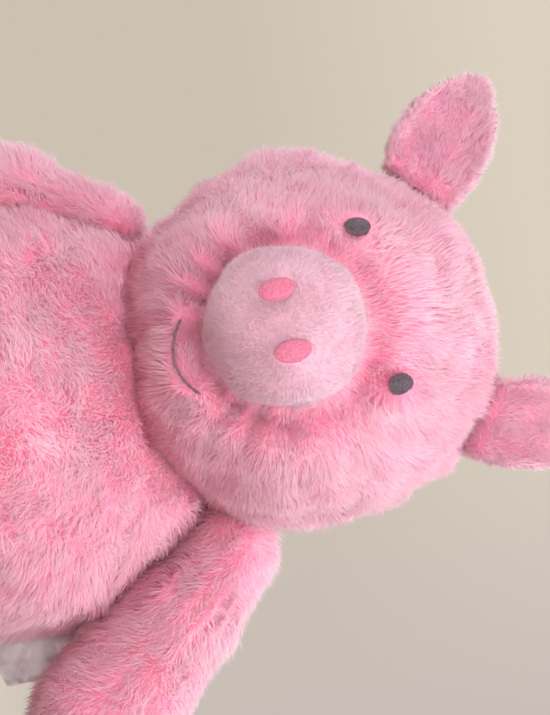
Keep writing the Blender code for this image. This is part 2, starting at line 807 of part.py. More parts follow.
def label_root():
    """How far out the side seam lies at the label, where it is narrowest."""
    roots = []
    for height in (LABEL_HEIGHT - LABEL_WIDTH / 2, LABEL_HEIGHT, LABEL_HEIGHT + LABEL_WIDTH / 2):
        half_width = flank(height, TORSO_HALF_WIDTH, DOME_HALF_WIDTH, 0)
        half_depth = flank(height, TORSO_HALF_DEPTH, DOME_RADIUS, 0)
        roots.append(half_width * math.sqrt(1 - (LABEL_BACK / half_depth) ** 2))
    return min(roots), max(roots)


def make_label():
    """A blank ribbon, folded in two and sewn in the left side seam."""
    root, widest = label_root()
    reach = widest + LABEL_REACH - root
    outer, inner = [], []
    for step in range(LABEL_STEPS + 1):
        turn = math.pi / 2 * (2 * step / LABEL_STEPS - 1)
        out = root + reach * math.cos(turn)
        outer.append((out, LABEL_BACK + (LABEL_FOLD_RADIUS + LABEL_THICKNESS) * math.sin(turn)))
        inner.append((out - LABEL_THICKNESS, LABEL_BACK + LABEL_FOLD_RADIUS * math.sin(turn)))
    outline = outer + inner[::-1]
    shape = bmesh.new()
    low, high = LABEL_HEIGHT - LABEL_WIDTH / 2, LABEL_HEIGHT + LABEL_WIDTH / 2
    bottom = [shape.verts.new((x, y, low)) for x, y in outline]
    top = [shape.verts.new((x, y, high)) for x, y in outline]
    count = len(outline)
    for step in range(count):
        after = (step + 1) % count
        shape.faces.new((bottom[step], bottom[after], top[after], top[step]))
    for step in range(LABEL_STEPS):
        across = (step, step + 1, count - step - 2, count - step - 1)
        shape.faces.new([bottom[k] for k in across])
        shape.faces.new([top[k] for k in across])
    mesh = mesh_from("side_label", shape)
    mesh.shade_flat()
    label = add_piece("side_label", mesh, LABEL_COLOUR, roughness=0.5)
    combine(label, TORSO_SEAT, "DIFFERENCE")
    return [label]


# Assembly


def hang(pieces, name, pivot, parent=None):
    """Hang pieces from an empty at their hinge."""
    empty = bpy.data.objects.new(name, None)
    empty.empty_display_size = GAP
    PIECES.objects.link(empty)
    empty.parent = parent
    empty.location = pivot - parent.location if parent else pivot
    for piece in pieces:
        piece.data.transform(Matrix.Translation(-pivot))
        piece.parent = empty
    return empty


def main():
    """Build every piece and hang the moving ones from their hinges."""
    torso_skin, _ = make_torso()
    head = make_head()
    cut_ear_grooves(head[0])
    head += make_snout() + make_eyes() + make_nostrils() + make_mouth()
    ears, arms, legs = make_ears(), make_arms(), make_legs()
    tail = make_tail(torso_skin)
    make_label()

    head_hinge = hang(head, "neck_hinge", NECK)
    for side, sign in SIDES.items():
        hang(ears[side], f"ear_hinge_{side}", ear_frame(sign).translation, head_hinge)
        hang(arms[side], f"shoulder_hinge_{side}", shoulder_hinge(side))
        hang(legs[side], f"hip_hinge_{side}", hip_hinge(sign))
    hang(tail, "tail_hinge", TAIL_PIVOT)


main()
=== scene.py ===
"""The look of a stuffed plush pig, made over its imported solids.

Each stuffed piece is a sewn cover of backing cloth inside its solid, with its pile rooted in it:
closed tapered strands that lean the way the cloth is brushed and gather in tufts. The covers take
the forms of the solids, with the seams, puckers and folds that sewing and filling give them.
"""

import json
import math
from collections import namedtuple
import bmesh
import bpy
import numpy as np
from mathutils import Matrix, Vector
from mathutils.kdtree import KDTree

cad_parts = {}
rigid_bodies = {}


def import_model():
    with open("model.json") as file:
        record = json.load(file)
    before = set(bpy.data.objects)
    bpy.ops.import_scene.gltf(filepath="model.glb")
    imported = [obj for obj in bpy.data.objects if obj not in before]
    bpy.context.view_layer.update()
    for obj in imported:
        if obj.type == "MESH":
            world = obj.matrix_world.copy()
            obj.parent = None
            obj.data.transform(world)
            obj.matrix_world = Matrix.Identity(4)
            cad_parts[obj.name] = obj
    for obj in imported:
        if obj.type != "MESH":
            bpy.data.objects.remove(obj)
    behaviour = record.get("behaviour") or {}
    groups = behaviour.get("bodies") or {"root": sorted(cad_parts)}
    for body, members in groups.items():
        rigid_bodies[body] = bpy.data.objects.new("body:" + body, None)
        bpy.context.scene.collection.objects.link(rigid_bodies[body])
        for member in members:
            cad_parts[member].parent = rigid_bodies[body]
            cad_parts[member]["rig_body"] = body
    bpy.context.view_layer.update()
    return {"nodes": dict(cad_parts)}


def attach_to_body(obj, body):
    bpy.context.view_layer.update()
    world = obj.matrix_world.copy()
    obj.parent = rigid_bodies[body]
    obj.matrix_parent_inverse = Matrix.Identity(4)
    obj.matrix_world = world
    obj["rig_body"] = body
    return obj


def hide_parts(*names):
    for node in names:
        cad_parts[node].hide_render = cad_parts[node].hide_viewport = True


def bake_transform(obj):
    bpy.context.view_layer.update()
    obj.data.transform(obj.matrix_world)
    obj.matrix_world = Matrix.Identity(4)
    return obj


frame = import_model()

UP = Vector((0, 0, 1))
FRONT = Vector((0, -1, 0))
ACROSS = Vector((1, 0, 0))
SIDES = {"left": 1, "right": -1}
STAGE = bpy.context.scene.collection

# Forms of the solids, in metres
NECK = Vector((0, 0, 0.108))
DOME_HALF_WIDTH, DOME_RADIUS, DOME_FOOT = 0.084, 0.054, 0.130
TORSO_HALF_WIDTH, TORSO_HALF_DEPTH, TORSO_WIDEST, TORSO_FULLNESS = 0.090, 0.072, 0.080, 3.0
HEAD_CENTRE = Vector((0, -0.018, 0.210))
HEAD_SIZE = (0.075, 0.066, 0.074)
CHEEK_SHARE = 0.03
LEAN = Matrix.Translation(NECK) @ Matrix.Rotation(math.radians(-5), 4, "Y")
LEAN = LEAN @ Matrix.Translation(-NECK)
SNOUT_RADIUS, SNOUT_DEPTH, SNOUT_FULLNESS = 0.029, 0.060, 4.0
SNOUT_DROP, SNOUT_REACH = 0.009, 0.022
EYE_SPACING, EYE_RISE, EYE_SIZE = 0.060, 0.026, (0.004, 0.005)
NOSTRIL_SPACING, NOSTRIL_SIZE = 0.022, (0.004, 0.0065)
STITCH_HEIGHT = 0.0016
MOUTH_WIDTH, MOUTH_SAG, MOUTH_DROP = 0.028, 0.006, 0.051
EAR_ANGLE, EAR_LENGTH, EAR_HALF_WIDTH = math.radians(40), 0.050, 0.0210
EAR_HALF_THICKNESS, EAR_CUP, EAR_ROOT_HALF, EAR_TAPER = 0.0042, 0.016, 0.0165, 2.2
EAR_SPLAYS = {"left": math.radians(24), "right": math.radians(44)}
# How far across each ear's cup the deeper lining pile reaches; on the right ear it stops where the
# painted shade of the cup ends
EAR_PAINTED_SHADE_REACH = {"left": 1.0, "right": 0.25}
SHOULDERS = {"left": (0.070, 0.159, 45, 12), "right": (0.070, 0.127, 63, 6)}
ARM_SIZE = (0.0275, 0.024, 0.110, 0.24)
LEG_SIZE = (0.0315, 0.020, 0.125, 0.06)
LEG_SPREAD = math.radians(25)
HIP = (0.040, 0.020)
LIMB_FULLNESS = 2.7
SOLE_RADIUS = 0.021
TAIL_ROOT = Vector((0, 0.07363, 0.060))
TAIL_RADIUS, TAIL_TIP_SHARE = 0.0068, 0.55
TAIL_COIL, TAIL_STEM, TAIL_TURNS, TAIL_PITCH, TAIL_WIDEN = 0.012, 0.014, 1.25, 0.019, 0.4
LABEL_HEIGHT, LABEL_BACK, LABEL_WIDTH, LABEL_REACH = 0.078, 0.022, 0.032, 0.022

# Cloth: how far each cover lies inside its solid, and how thick it is
COVER_INSET, SNOUT_INSET, EAR_INSET, TAIL_INSET, SOLE_INSET = 0.006, 0.0026, 0.0022, 0.003, 0.0004
CLOTH = 0.0015
FLOOR_CLEAR = 0.0004
THREAD_PITCH, THREAD_RADIUS, THREAD_SLANT, THREAD_TUCK = 0.00042, 0.00025, 0.06, 0.0008
PAD_SHARE = 1.05

# Pile: how strands stray, lean, curve and gather, and how they are shaded, with painted shade in
# creases
WANDER, WANDER_SIZES = 0.3, (0.045, 0.012)
LEAN_WAVES, LEAN_STRAY, LEAN_RANGE = 9, 6, (5, 82)
LENGTH_WAVES, LENGTH_RANGE = 0.13, (0.72, 1.08)
SHORTEST, LONGEST_SHARE, ROOT_DEPTH = 0.0012, 1.35, 0.0002
MIDDLE_RISE, MIDDLE_RUN, MIDDLE_PULL, MIDDLE_TAPER = 0.64, 0.38, 0.45, 0.8
PULL, PULL_WAVES, PULL_RANGE = 0.6, 0.4, (0.05, 0.85)
PIECE_STRANDS = 19500
OWN_SHADE, UNDER_SHADE, TUFT_SHADE = 0.2, 1.6, 0.25
# The pile's tone, which varies at random, and how far painted shade moves pile in creases to the
# deeper colour
SHADE, SHADE_WAVES, SHADE_STRAY, CREASE_PAINTED_SHADE = 0.8, 0.08, 0.06, 0.7
HUE, HUE_WAVES, HUE_STRAY = 0.5, 0.25, 0.15

# A strand's faces: its foot, its sides up to its middle, and from there to its tip; and where
# its points lie in a cell of the map
STRAND_POINTS = 7
STRAND_FACES = [(2, 1, 0)]
STRAND_FACES += [(k, (k + 1) % 3, 3 + (k + 1) % 3, 3 + k) for k in range(3)]
STRAND_FACES += [(3 + k, 3 + (k + 1) % 3, 6) for k in range(3)]
CELLS = 24
CELL_SPOTS = [(0.2, 0.1), (0.8, 0.1), (0.5, 0.16), (0.2, 0.5), (0.8, 0.5), (0.5, 0.56), (0.5, 0.9)]

random = np.random.default_rng(20)
WAVE_COUNT = 14


def unit_rows(rows):
    """Rows scaled to length one."""
    return rows / np.maximum(np.linalg.norm(rows, axis=-1, keepdims=True), 1e-12)


def move(matrix, points):
    """Points moved by a matrix."""
    m = np.array(matrix, float)
    return points @ m[:3, :3].T + m[:3, 3]


def turn(matrix, rows):
    """Directions turned by a matrix."""
    return rows @ np.array(matrix, float)[:3, :3].T


def smooth_step(low, high, value):
    """Zero below low, one above high, and smooth between."""
    share = np.clip((value - low) / (high - low), 0, 1)
    return share * share * (3 - 2 * share)


def bump(value, centre, width):
    """A soft hump, one at its centre."""
    return np.exp(-(((value - centre) / width) ** 2))


class Waves:
    """A smooth random field in space, made of plane waves about one size long."""

    def __init__(self, size, seed):
        draw = np.random.default_rng(seed)
        self.ways = unit_rows(draw.normal(size=(WAVE_COUNT, 3)))
        self.ways *= 2 * math.pi / (size * draw.uniform(0.7, 1.6, (WAVE_COUNT, 1)))
        self.starts = draw.uniform(0, 2 * math.pi, WAVE_COUNT)

    def __call__(self, points):
        return np.sin(points @ self.ways.T + self.starts).sum(1) / math.sqrt(WAVE_COUNT / 2)


def vector_waves(size, seed, points):
    """Three smooth random fields, as vectors."""
    return np.stack([Waves(size, seed + k)(points) for k in range(3)], 1)


# Materials


def principled(name, roughness, sheen, specular):
    """A material with a Principled shader, with its nodes and that shader."""
    material = bpy.data.materials.new(name)
    material.use_nodes = True
    tree = material.node_tree
    shader = tree.nodes["Principled BSDF"]
    shader.inputs["Roughness"].default_value = roughness
    shader.inputs["Specular IOR Level"].default_value = specular
    shader.inputs["Sheen Weight"].default_value = sheen
    shader.inputs["Sheen Roughness"].default_value = 0.5
    shader.inputs["Sheen Tint"].default_value = (1.0, 0.72, 0.82, 1)
    return material, tree, shader


def feed(tree, socket, source):
    """Give a socket a value, or link it to another node's output."""
    if hasattr(source, "is_output"):
        tree.links.new(source, socket)
    else:
        socket.default_value = source


def node(tree, kind, sources=(), **options):
    """A node, with its options and what feeds it."""
    made = tree.nodes.new(f"ShaderNode{kind}")
    for option, value in options.items():
        setattr(made, option, value)
    for socket, source in sources:
        feed(tree, made.inputs[socket], source)
    return made


def sums(tree, operation, first, second):
    """The result of a sum with two numbers."""
    return node(tree, "Math", [(0, first), (1, second)], operation=operation).outputs[0]


def srgb(*levels):
    """A colour of 0 to 255 levels, as linear RGB with alpha."""
    shares = [level / 255 for level in levels]
    linear = [s / 12.92 if s <= 0.04045 else ((s + 0.055) / 1.055) ** 2.4 for s in shares]
    return (*linear, 1.0)


def ramp(tree, factor, stops):
    """A colour ramp with stops of place and colour."""
    made = node(tree, "ValToRGB", [("Fac", factor)])
    elements = made.color_ramp.elements
    elements[0].position, elements[0].color = stops[0]
    elements[1].position, elements[1].color = stops[-1]
    for place, colour in stops[1:-1]:
        elements.new(place).color = colour
    return made.outputs["Color"]


def mixed(tree, factor, first, second, way="MIX"):
    """Two colours mixed."""
    made = node(tree, "Mix", data_type="RGBA", blend_type=way)
    for name, source in (("Factor", factor), ("A", first), ("B", second)):
        feed(tree, next(i for i in made.inputs if i.name == name and i.enabled), source)
    return next(o for o in made.outputs if o.enabled)


def mixed_shaders(tree, factor, first, second):
    """Two shaders mixed and linked to the output."""
    blend = node(tree, "MixShader", [("Fac", factor)])
    tree.links.new(first.outputs[0], blend.inputs[1])
    tree.links.new(second.outputs[0], blend.inputs[2])
    output = next(n for n in tree.nodes if n.type.startswith("OUTPUT"))
    tree.links.new(blend.outputs[0], output.inputs["Surface"])


def pile_material(name, *shades):
    """Strands deeper at the root and paler at the tip, each cell of the map a shade of its own."""
    root, middle, tip, warm = (srgb(*levels) for levels in shades)
    material, tree, shader = principled(name, 0.9, 0.0, 0.04)
    shader.inputs["Subsurface Weight"].default_value = 0.6
    shader.inputs["Subsurface Radius"].default_value = (1.0, 0.7, 0.8)
    shader.inputs["Subsurface Scale"].default_value = 0.0008
    cells = node(tree, "UVMap", uv_map="OFBake").outputs["UV"]
    scaled = node(tree, "VectorMath", [(0, cells), (1, (CELLS, CELLS, 0))], operation="MULTIPLY")
    parts = []
    for operation in ("FRACTION", "FLOOR"):
        part = node(tree, "VectorMath", [(0, scaled.outputs["Vector"])], operation=operation)
        parts.append(node(tree, "SeparateXYZ", [(0, part.outputs["Vector"])]))
    inside, cell = parts
    shade, hue = (sums(tree, "DIVIDE", cell.outputs[axis], CELLS) for axis in "XY")
    colour = ramp(tree, inside.outputs["Y"], [(0.1, root), (0.5, middle), (0.9, tip)])
    # The deeper colour of the low cells serves both random tone and painted shade for pile in creases
    deeper_tone_and_painted_shade = mixed(tree, 1.0, colour, (0.96, 0.62, 0.71, 1), "MULTIPLY")
    colour = mixed(tree, shade, deeper_tone_and_painted_shade, colour)
    warmed = mixed(tree, 0.35, colour, warm)
    colour = mixed(tree, hue, colour, warmed)
    tree.links.new(colour, shader.inputs["Base Color"])
    return material


def texture(tree, kind, output, sources, options=None):
    """A texture's output, laid out in the object's own space."""
    place = node(tree, "TexCoord").outputs["Object"]
    sources = [("Vector", place), *sources.items()]
    return node(tree, f"Tex{kind}", sources, **(options or {})).outputs[output]


Finish = namedtuple("Finish", "roughness sheen specular pattern relief strength depth")


def textured(name, finish, dark, light):
    """A material with two colours spread by its finish's pattern, and that finish's relief."""
    material, tree, shader = principled(name, finish.roughness, finish.sheen, finish.specular)
    stops = [(0.3, srgb(*dark)), (0.7, srgb(*light))]
    colour = ramp(tree, texture(tree, *finish.pattern), stops)
    relief = [("Height", texture(tree, *finish.relief)), ("Strength", finish.strength)]
    raised = node(tree, "Bump", [*relief, ("Distance", finish.depth)])
    tree.links.new(colour, shader.inputs["Base Color"])
    tree.links.new(raised.outputs["Normal"], shader.inputs["Normal"])
    return material


PATCHES = ("Noise", "Fac", {"Scale": 60.0, "Detail": 3.0})
LOOPS = ("Voronoi", "Distance", {"Scale": 900.0})
PLIES = ("Noise", "Fac", {"Scale": 1400.0, "Detail": 2.0})
FLUFF = ("Noise", "Fac", {"Scale": 260.0, "Detail": 6.0, "Distortion": 2.5})
WEAR = ("Noise", "Fac", {"Scale": 90.0, "Detail": 4.0})
WEAVE = ("Wave", "Color", {"Scale": 420.0, "Distortion": 0.4, "Detail": 1.0}, {"bands_direction": "Z"})
# Knitted backing with fine loops, a little uneven in colour
KNIT = Finish(0.95, 0.2, 0.1, PATCHES, LOOPS, 0.25, 0.0005)
# Glossy embroidery thread, with fine plies and a little fuzz of colour
THREAD = Finish(0.45, 0.3, 0.5, PLIES, PLIES, 0.4, 0.0002)
# Loose white polyester fibre
LOOSE = Finish(1.0, 0.5, 0.2, FLUFF, FLUFF, 0.8, 0.002)
# Woven satin ribbon: fine cross threads, a soft gloss and a few worn places
WOVEN = Finish(0.35, 0.0, 0.5, WEAR, WEAVE, 0.25, 0.0002)

LONG_PILE = pile_material(
    "long_pile", (245, 149, 177), (253, 163, 190), (255, 177, 201), (255, 183, 198)
)
SHORT_PILE = pile_material(
    "short_pile", (232, 154, 182), (243, 174, 198), (248, 188, 210), (250, 193, 208)
)
# The lining pile of the ears' cups is a deeper pink, partly the lining's own colour and partly painted
# shade
INNER_PILE = pile_material(
    "inner_pile", (222, 116, 154), (240, 142, 176), (248, 160, 192), (250, 164, 186)
)
BACKING = textured("backing", KNIT, (234, 130, 161), (243, 148, 177))
SNOUT_BACKING = textured("snout_backing", KNIT, (224, 172, 190), (240, 196, 212))
EYE_THREAD = textured("eye_thread", THREAD, (48, 38, 44), (92, 78, 90))
MOUTH_THREAD = textured("mouth_thread", THREAD, (92, 60, 74), (138, 98, 114))
NOSTRIL_THREAD = textured("nostril_thread", THREAD, (188, 92, 122), (212, 122, 148))
FIBRE = textured("fibre", LOOSE, (222, 220, 215), (246, 245, 242))
SATIN = textured("satin", WOVEN, (184, 181, 184), (222, 220, 223))

# Pile: strands to a square millimetre, their length, the degrees that they lean from upright, how
# much they gather, how far apart the tufts are, and what they are made of, how thick and how astray
Pile = namedtuple(
    "Pile",
    "density length lean gather tuft material slot radius stray",
    defaults=(LONG_PILE, "plush", 0.00012, 0.4),
)
HEAD_PILE = Pile(2.1, 0.0080, 40, 0.24, 0.0036)
SNOUT_PILE = Pile(5.4, 0.0038, 46, 0.16, 0.0028, SHORT_PILE, "snout", 0.00009, 0.5)
EAR_PILE = Pile(3.0, 0.0058, 60, 0.25, 0.0036)
EAR_RIM_PILE = Pile(7.0, 0.0048, 66, 0.15, 0.003)
EAR_INNER_PILE = Pile(4.6, 0.0044, 56, 0.2, 0.003, INNER_PILE, "lining", 0.0001)
TORSO_PILE = Pile(1.95, 0.0083, 42, 0.2, 0.0036)
LIMB_PILE = Pile(1.9, 0.0082, 40, 0.24, 0.0040)
SOLE_PILE = Pile(4.5, 0.0034, 45, 0.3, 0.0032, SHORT_PILE, "snout", 0.00009, 0.5)
TAIL_PILE = Pile(3.2, 0.0060, 58, 0.3, 0.0035)

# Forms


def plump(share, fullness):
    """How wide a plump form still is at a share of its half length."""
    return (1 - np.minimum(np.abs(share), 1) ** fullness) ** (1 / fullness)


def round_way(units):
    """Directions round the pole axis."""
    flat = units[:, :2]
    return flat / np.maximum(np.linalg.norm(flat, axis=1, keepdims=True), 1e-9)


def flank(height, widest, dome_half, grow):
    """Half the torso's width or depth at each height."""
    radius = DOME_RADIUS + grow
    stretch = (dome_half + grow) / radius
    above = np.clip((height - NECK.z) / radius, -1, 1)
    dome = stretch * radius * np.sqrt(1 - above**2)
    below = np.clip((TORSO_WIDEST - height) / (TORSO_WIDEST + grow), 0, 1)
    lower = (widest + grow) * plump(below, TORSO_FULLNESS)
    foot_above = (DOME_FOOT - NECK.z) / radius
    foot_half = stretch * radius * math.sqrt(1 - foot_above**2)
    foot_slope = -stretch * foot_above / math.sqrt(1 - foot_above**2)
    rise = DOME_FOOT - TORSO_WIDEST
    share = np.clip((height - TORSO_WIDEST) / rise, 0, 1)
    ease = share**2 * (3 - 2 * share)
    waist = (widest + grow) * (1 - ease) + foot_half * ease
    waist += (share**3 - share**2) * rise * foot_slope
    return np.where(height >= DOME_FOOT, dome, np.where(height <= TORSO_WIDEST, lower, waist))


def torso_form(units, grow):
    """The torso's surface, grown or shrunk."""
    top = NECK.z + DOME_RADIUS + grow
    bottom = -grow
    reach = np.where(units[:, 2] > 0, top - TORSO_WIDEST, TORSO_WIDEST - bottom)
    height = TORSO_WIDEST + units[:, 2] * reach
    around = round_way(units)
    half_width = flank(height, TORSO_HALF_WIDTH, DOME_HALF_WIDTH, grow)
    half_depth = flank(height, TORSO_HALF_DEPTH, DOME_RADIUS, grow)
    return np.stack([around[:, 0] * half_width, around[:, 1] * half_depth, height], 1)


def in_torso(points, grow):
    """Whether points lie in the torso, grown or shrunk."""
    half_width = flank(points[:, 2], TORSO_HALF_WIDTH, DOME_HALF_WIDTH, grow)
    half_depth = flank(points[:, 2], TORSO_HALF_DEPTH, DOME_RADIUS, grow)
    half_width, half_depth = np.maximum(half_width, 1e-6), np.maximum(half_depth, 1e-6)
    spread = (points[:, 0] / half_width) ** 2 + (points[:, 1] / half_depth) ** 2
    return (spread < 1) & (points[:, 2] < NECK.z + DOME_RADIUS + grow)


def head_upright(units, grow):
    """The head's surface before it leans."""
    wide, deep, tall = (size + grow for size in HEAD_SIZE)
    across = units[:, 0] * wide * (1 - CHEEK_SHARE * units[:, 2])
    place = np.stack([across, units[:, 1] * deep, units[:, 2] * tall], 1)
    return place + np.array(HEAD_CENTRE)


def head_form(units, grow):
    """The head's surface, grown or shrunk."""
    return move(LEAN, head_upright(units, grow))


def in_head(points, grow):
    """Whether points lie in the head, grown or shrunk."""
    place = move(LEAN.inverted(), points) - np.array(HEAD_CENTRE)
    wide, deep, tall = (size + grow for size in HEAD_SIZE)
    up_share = place[:, 2] / tall
    across = place[:, 0] / (wide * (1 - CHEEK_SHARE * np.clip(up_share, -1, 1)))
    return across**2 + (place[:, 1] / deep) ** 2 + up_share**2 < 1


def head_front(across, rise, grow=0.0):
    """The point of the upright head's face at a distance across and up from its centre."""
    wide, deep, tall = (size + grow for size in HEAD_SIZE)
    up_share = rise / tall
    across_share = across / (wide * (1 - CHEEK_SHARE * up_share))
    forward = -math.sqrt(1 - up_share**2 - across_share**2)
    return HEAD_CENTRE + Vector((across, forward * deep, rise))


def face_normal(across, rise):
    """The direction that the upright face looks in at a point."""
    point = head_front(across, rise) - HEAD_CENTRE
    return Vector(p / s**2 for p, s in zip(point, HEAD_SIZE)).normalized()


def frame_at(origin, z_axis, x_axis):
    """A right-handed frame with Z along one direction and X near another."""
    z_axis = z_axis.normalized()
    y_axis = z_axis.cross(x_axis).normalized()
    x_axis = y_axis.cross(z_axis)
    return Matrix.Translation(origin) @ Matrix((x_axis, y_axis, z_axis)).transposed().to_4x4()


SNOUT_FACE = head_front(0, -SNOUT_DROP) + FRONT * SNOUT_REACH
SNOUT_FRAME = LEAN @ frame_at(SNOUT_FACE - FRONT * SNOUT_DEPTH / 2, FRONT, ACROSS)
SNOUT_TIP = np.array(LEAN @ SNOUT_FACE)
SNOUT_AXIS = np.array(LEAN.to_3x3() @ FRONT)


def snout_form(units, grow):
    """The snout's rounded disc, grown or shrunk."""
    around = round_way(units) * ((SNOUT_RADIUS + grow) * plump(units[:, 2:3], SNOUT_FULLNESS))
    depth = units[:, 2:3] * (SNOUT_DEPTH / 2 + grow)
    return move(SNOUT_FRAME, np.concatenate([around, depth], 1))


def arm_frame(side):
    """An arm's frame, with Z towards the paw."""
    half_width, height, drop, forward = SHOULDERS[side]
    drop, forward = math.radians(drop), math.radians(forward)
    level = math.cos(drop)
    towards = (SIDES[side] * level * math.cos(forward), -level * math.sin(forward), -math.sin(drop))
    return frame_at(Vector((SIDES[side] * half_width, 0, height)), Vector(towards), FRONT)


def leg_frame(side):
    """A leg's frame, with Z towards the foot."""
    sign = SIDES[side]
    towards = Vector((sign * math.sin(LEG_SPREAD), -math.cos(LEG_SPREAD), 0))
    return frame_at(Vector((sign * HIP[0], -HIP[1], LEG_SIZE[0])), towards, UP)


LIMBS = {
    f"{kind}_{side}": (frame_of(side), size)
    for kind, frame_of, size in (("arm", arm_frame, ARM_SIZE), ("leg", leg_frame, LEG_SIZE))
    for side in SIDES
}


def limb_form(limb, size):
    """A function that gives a limb's surface, grown or shrunk."""
    radius, root, length, taper = size

    def form(units, grow):
        half = (root + length) / 2 + grow
        wide = radius * (1 + taper * units[:, 2:3]) + grow
        around = round_way(units) * wide * plump(units[:, 2:3], LIMB_FULLNESS)
        along = (length - root) / 2 + units[:, 2:3] * half
        return move(limb, np.concatenate([around, along], 1))

    return form


def in_limb(limb, size, points, grow):
    """Whether points lie in a limb, grown or shrunk."""
    radius, root, length, taper = size
    place = move(limb.inverted(), points)
    half = (root + length) / 2 + grow
    share = (place[:, 2] - (length - root) / 2) / half
    wide = (radius * (1 + taper * share) + grow) * plump(share, LIMB_FULLNESS)
    return (np.hypot(place[:, 0], place[:, 1]) < wide) & (np.abs(share) < 1)


def ear_frame(side):
    """An ear's frame on the head: X along its root, Y to the back, Z out of the head."""
    unit = np.array([[SIDES[side] * math.sin(EAR_ANGLE), 0, math.cos(EAR_ANGLE)]])
    out = Vector(unit[0])
    return LEAN @ frame_at(Vector(head_upright(unit, 0)[0]), out, Vector((out.z, 0, -out.x)))


EAR_ROOTS = {side: ear_frame(side) for side in SIDES}


def leaf_half_width(share, grow):
    """Half an ear's width at a share of its length."""
    swell = 4 * share * (1 - share) * (EAR_HALF_WIDTH - EAR_ROOT_HALF)
    return (EAR_ROOT_HALF + swell + grow) * np.sqrt(np.maximum(1 - share**EAR_TAPER, 0))


def leaf_lean(share, side):
    """How far an ear's middle line has leant across at a share of its length."""
    return SIDES[side] * math.tan(EAR_SPLAYS[side] - EAR_ANGLE) * EAR_LENGTH * share


def leaf_cup(across, share):
    """How far an ear's sides come forward, from their place across and along it."""
    return EAR_CUP * np.sqrt(share) * (across / EAR_HALF_WIDTH) ** 2


def ear_form(side):
    """A function that gives an ear's cupped leaf, grown or shrunk."""

    def form(units, grow):
        share = (1 + units[:, 2]) / 2
        around = round_way(units)
        across = around[:, 0] * leaf_half_width(share, grow)
        thick = EAR_HALF_THICKNESS * np.sqrt(np.maximum(1 - share**4, 0)) + grow
        through = around[:, 1] * np.maximum(thick, 0.0008) - leaf_cup(across, share)
        place = np.stack([across + leaf_lean(share, side), through, share * EAR_LENGTH], 1)
        return move(EAR_ROOTS[side], place)

    return form


# Pieces on their bodies


def attach(piece, body):
    """A piece of a limb stays where it is with its transform applied, and any other rides on its body.
    """
    if body in LIMBS:
        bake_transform(piece)
    else:
        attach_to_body(piece, body)


def dress(piece, body, slot, *nodes, fill=None):
    """A piece stands for solids, which it hides, and is attached to its body; its slot is not used."""
    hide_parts(*nodes)
    attach(piece, body)


# Meshes


def ball(level):
    """Unit directions and triangles of an even ball."""
    shape = bmesh.new()
    bmesh.ops.create_icosphere(shape, subdivisions=level, radius=1)
    units = np.array([v.co for v in shape.verts])
    faces = np.array([[v.index for v in f.verts] for f in shape.faces])
    shape.free()
    return unit_rows(units), faces


def vertex_normals(points, faces):
    """Outward normals at the points of a closed surface."""
    a, b, c = (points[faces[:, k]] for k in range(3))
    flat = np.cross(b - a, c - a)
    normals = np.zeros_like(points)
    for k in range(3):
        np.add.at(normals, faces[:, k], flat)
    return unit_rows(normals)


def new_mesh(name, points, faces, material):
    """A smooth mesh object."""
    mesh = bpy.data.meshes.new(name)
    mesh.from_pydata(points.tolist(), [], faces.tolist())
    mesh.materials.append(material)
    mesh.shade_smooth()
    made = bpy.data.objects.new(name, mesh)
    STAGE.objects.link(made)
    return made


def apply_modifiers(piece):
    """Keep what a piece's modifiers make as its mesh."""
    bpy.context.view_layer.update()
    solid = piece.evaluated_get(bpy.context.evaluated_depsgraph_get())
    mesh = bpy.data.meshes.new_from_object(solid)
    piece.modifiers.clear()
    old, piece.data = piece.data, mesh
    bpy.data.meshes.remove(old)
    mesh.shade_smooth()


class Cover:
    """The outer surface of a cover, for its mesh and for rooting its pile."""

    def __init__(self, form, level, inset, shape=None):
        units, self.faces = ball(level)
        self.form, self.shape = form, shape
        self.points = self.shaped(units, -inset)
        self.inner = self.shaped(units, -inset - CLOTH)
        self.normals = vertex_normals(self.points, self.faces)

    def shaped(self, units, grow):
        """The form with its seams, puckers and folds."""
        points = self.form(units, grow)
        if self.shape:
            normals = vertex_normals(points, self.faces)
            points = points + normals * self.shape(points)[:, None]
        points[:, 2] = np.maximum(points[:, 2], FLOOR_CLEAR)
        return points

    def cloth(self, name, material, cutters=()):
        """The cover as a closed shell of cloth, cut where other pieces lie."""
        count = len(self.points)
        points = np.concatenate([self.points, self.inner])
        faces = np.concatenate([self.faces, self.faces[:, ::-1] + count])
        piece = new_mesh(name, points, faces, material)
        for cutter in cutters:
            modifier = piece.modifiers.new("cut", "BOOLEAN")
            modifier.operation, modifier.object, modifier.solver = "DIFFERENCE", cutter, "EXACT"
        if cutters:
            apply_modifiers(piece)
        return piece

    def roots(self, density):
        """Even random roots on the cover, with the normals there."""
        a, b, c = (self.points[self.faces[:, k]] for k in range(3))
        area = np.linalg.norm(np.cross(b - a, c - a), axis=1) / 2
        count = int(area.sum() * 1e6 * density)
        face = random.choice(len(area), count, p=area / area.sum())
        u, v = random.random((2, count, 1))
        u, v = np.where(u + v > 1, 1 - u, u), np.where(u + v > 1, 1 - v, v)
        corners = self.faces[face]
        parts = (1 - u - v, u, v)
        points = sum(self.points[corners[:, k]] * parts[k] for k in range(3))
        normals = sum(self.normals[corners[:, k]] * parts[k] for k in range(3))
        return points, unit_rows(normals)


def cutter_of(form, level, grow):
    """A hidden solid of a form, to cut others with."""
    units, faces = ball(level)
    points = form(units, grow)
    cutter = new_mesh("cutter", points, faces, BACKING)
    cutter.hide_render = True
    return cutter


# Pile


def tufts(points, size):
    """For each point, the nearest of random points about one size apart."""
    cells = {}
    for index in random.permutation(len(points)):
        cells.setdefault(tuple((points[index] / size).astype(int)), index)
    centres = np.array(sorted(cells.values()))
    tree = KDTree(len(centres))
    for at, index in enumerate(centres):
        tree.insert(points[index], at)
    tree.balance()
    return centres[[tree.find(point)[1] for point in points]]


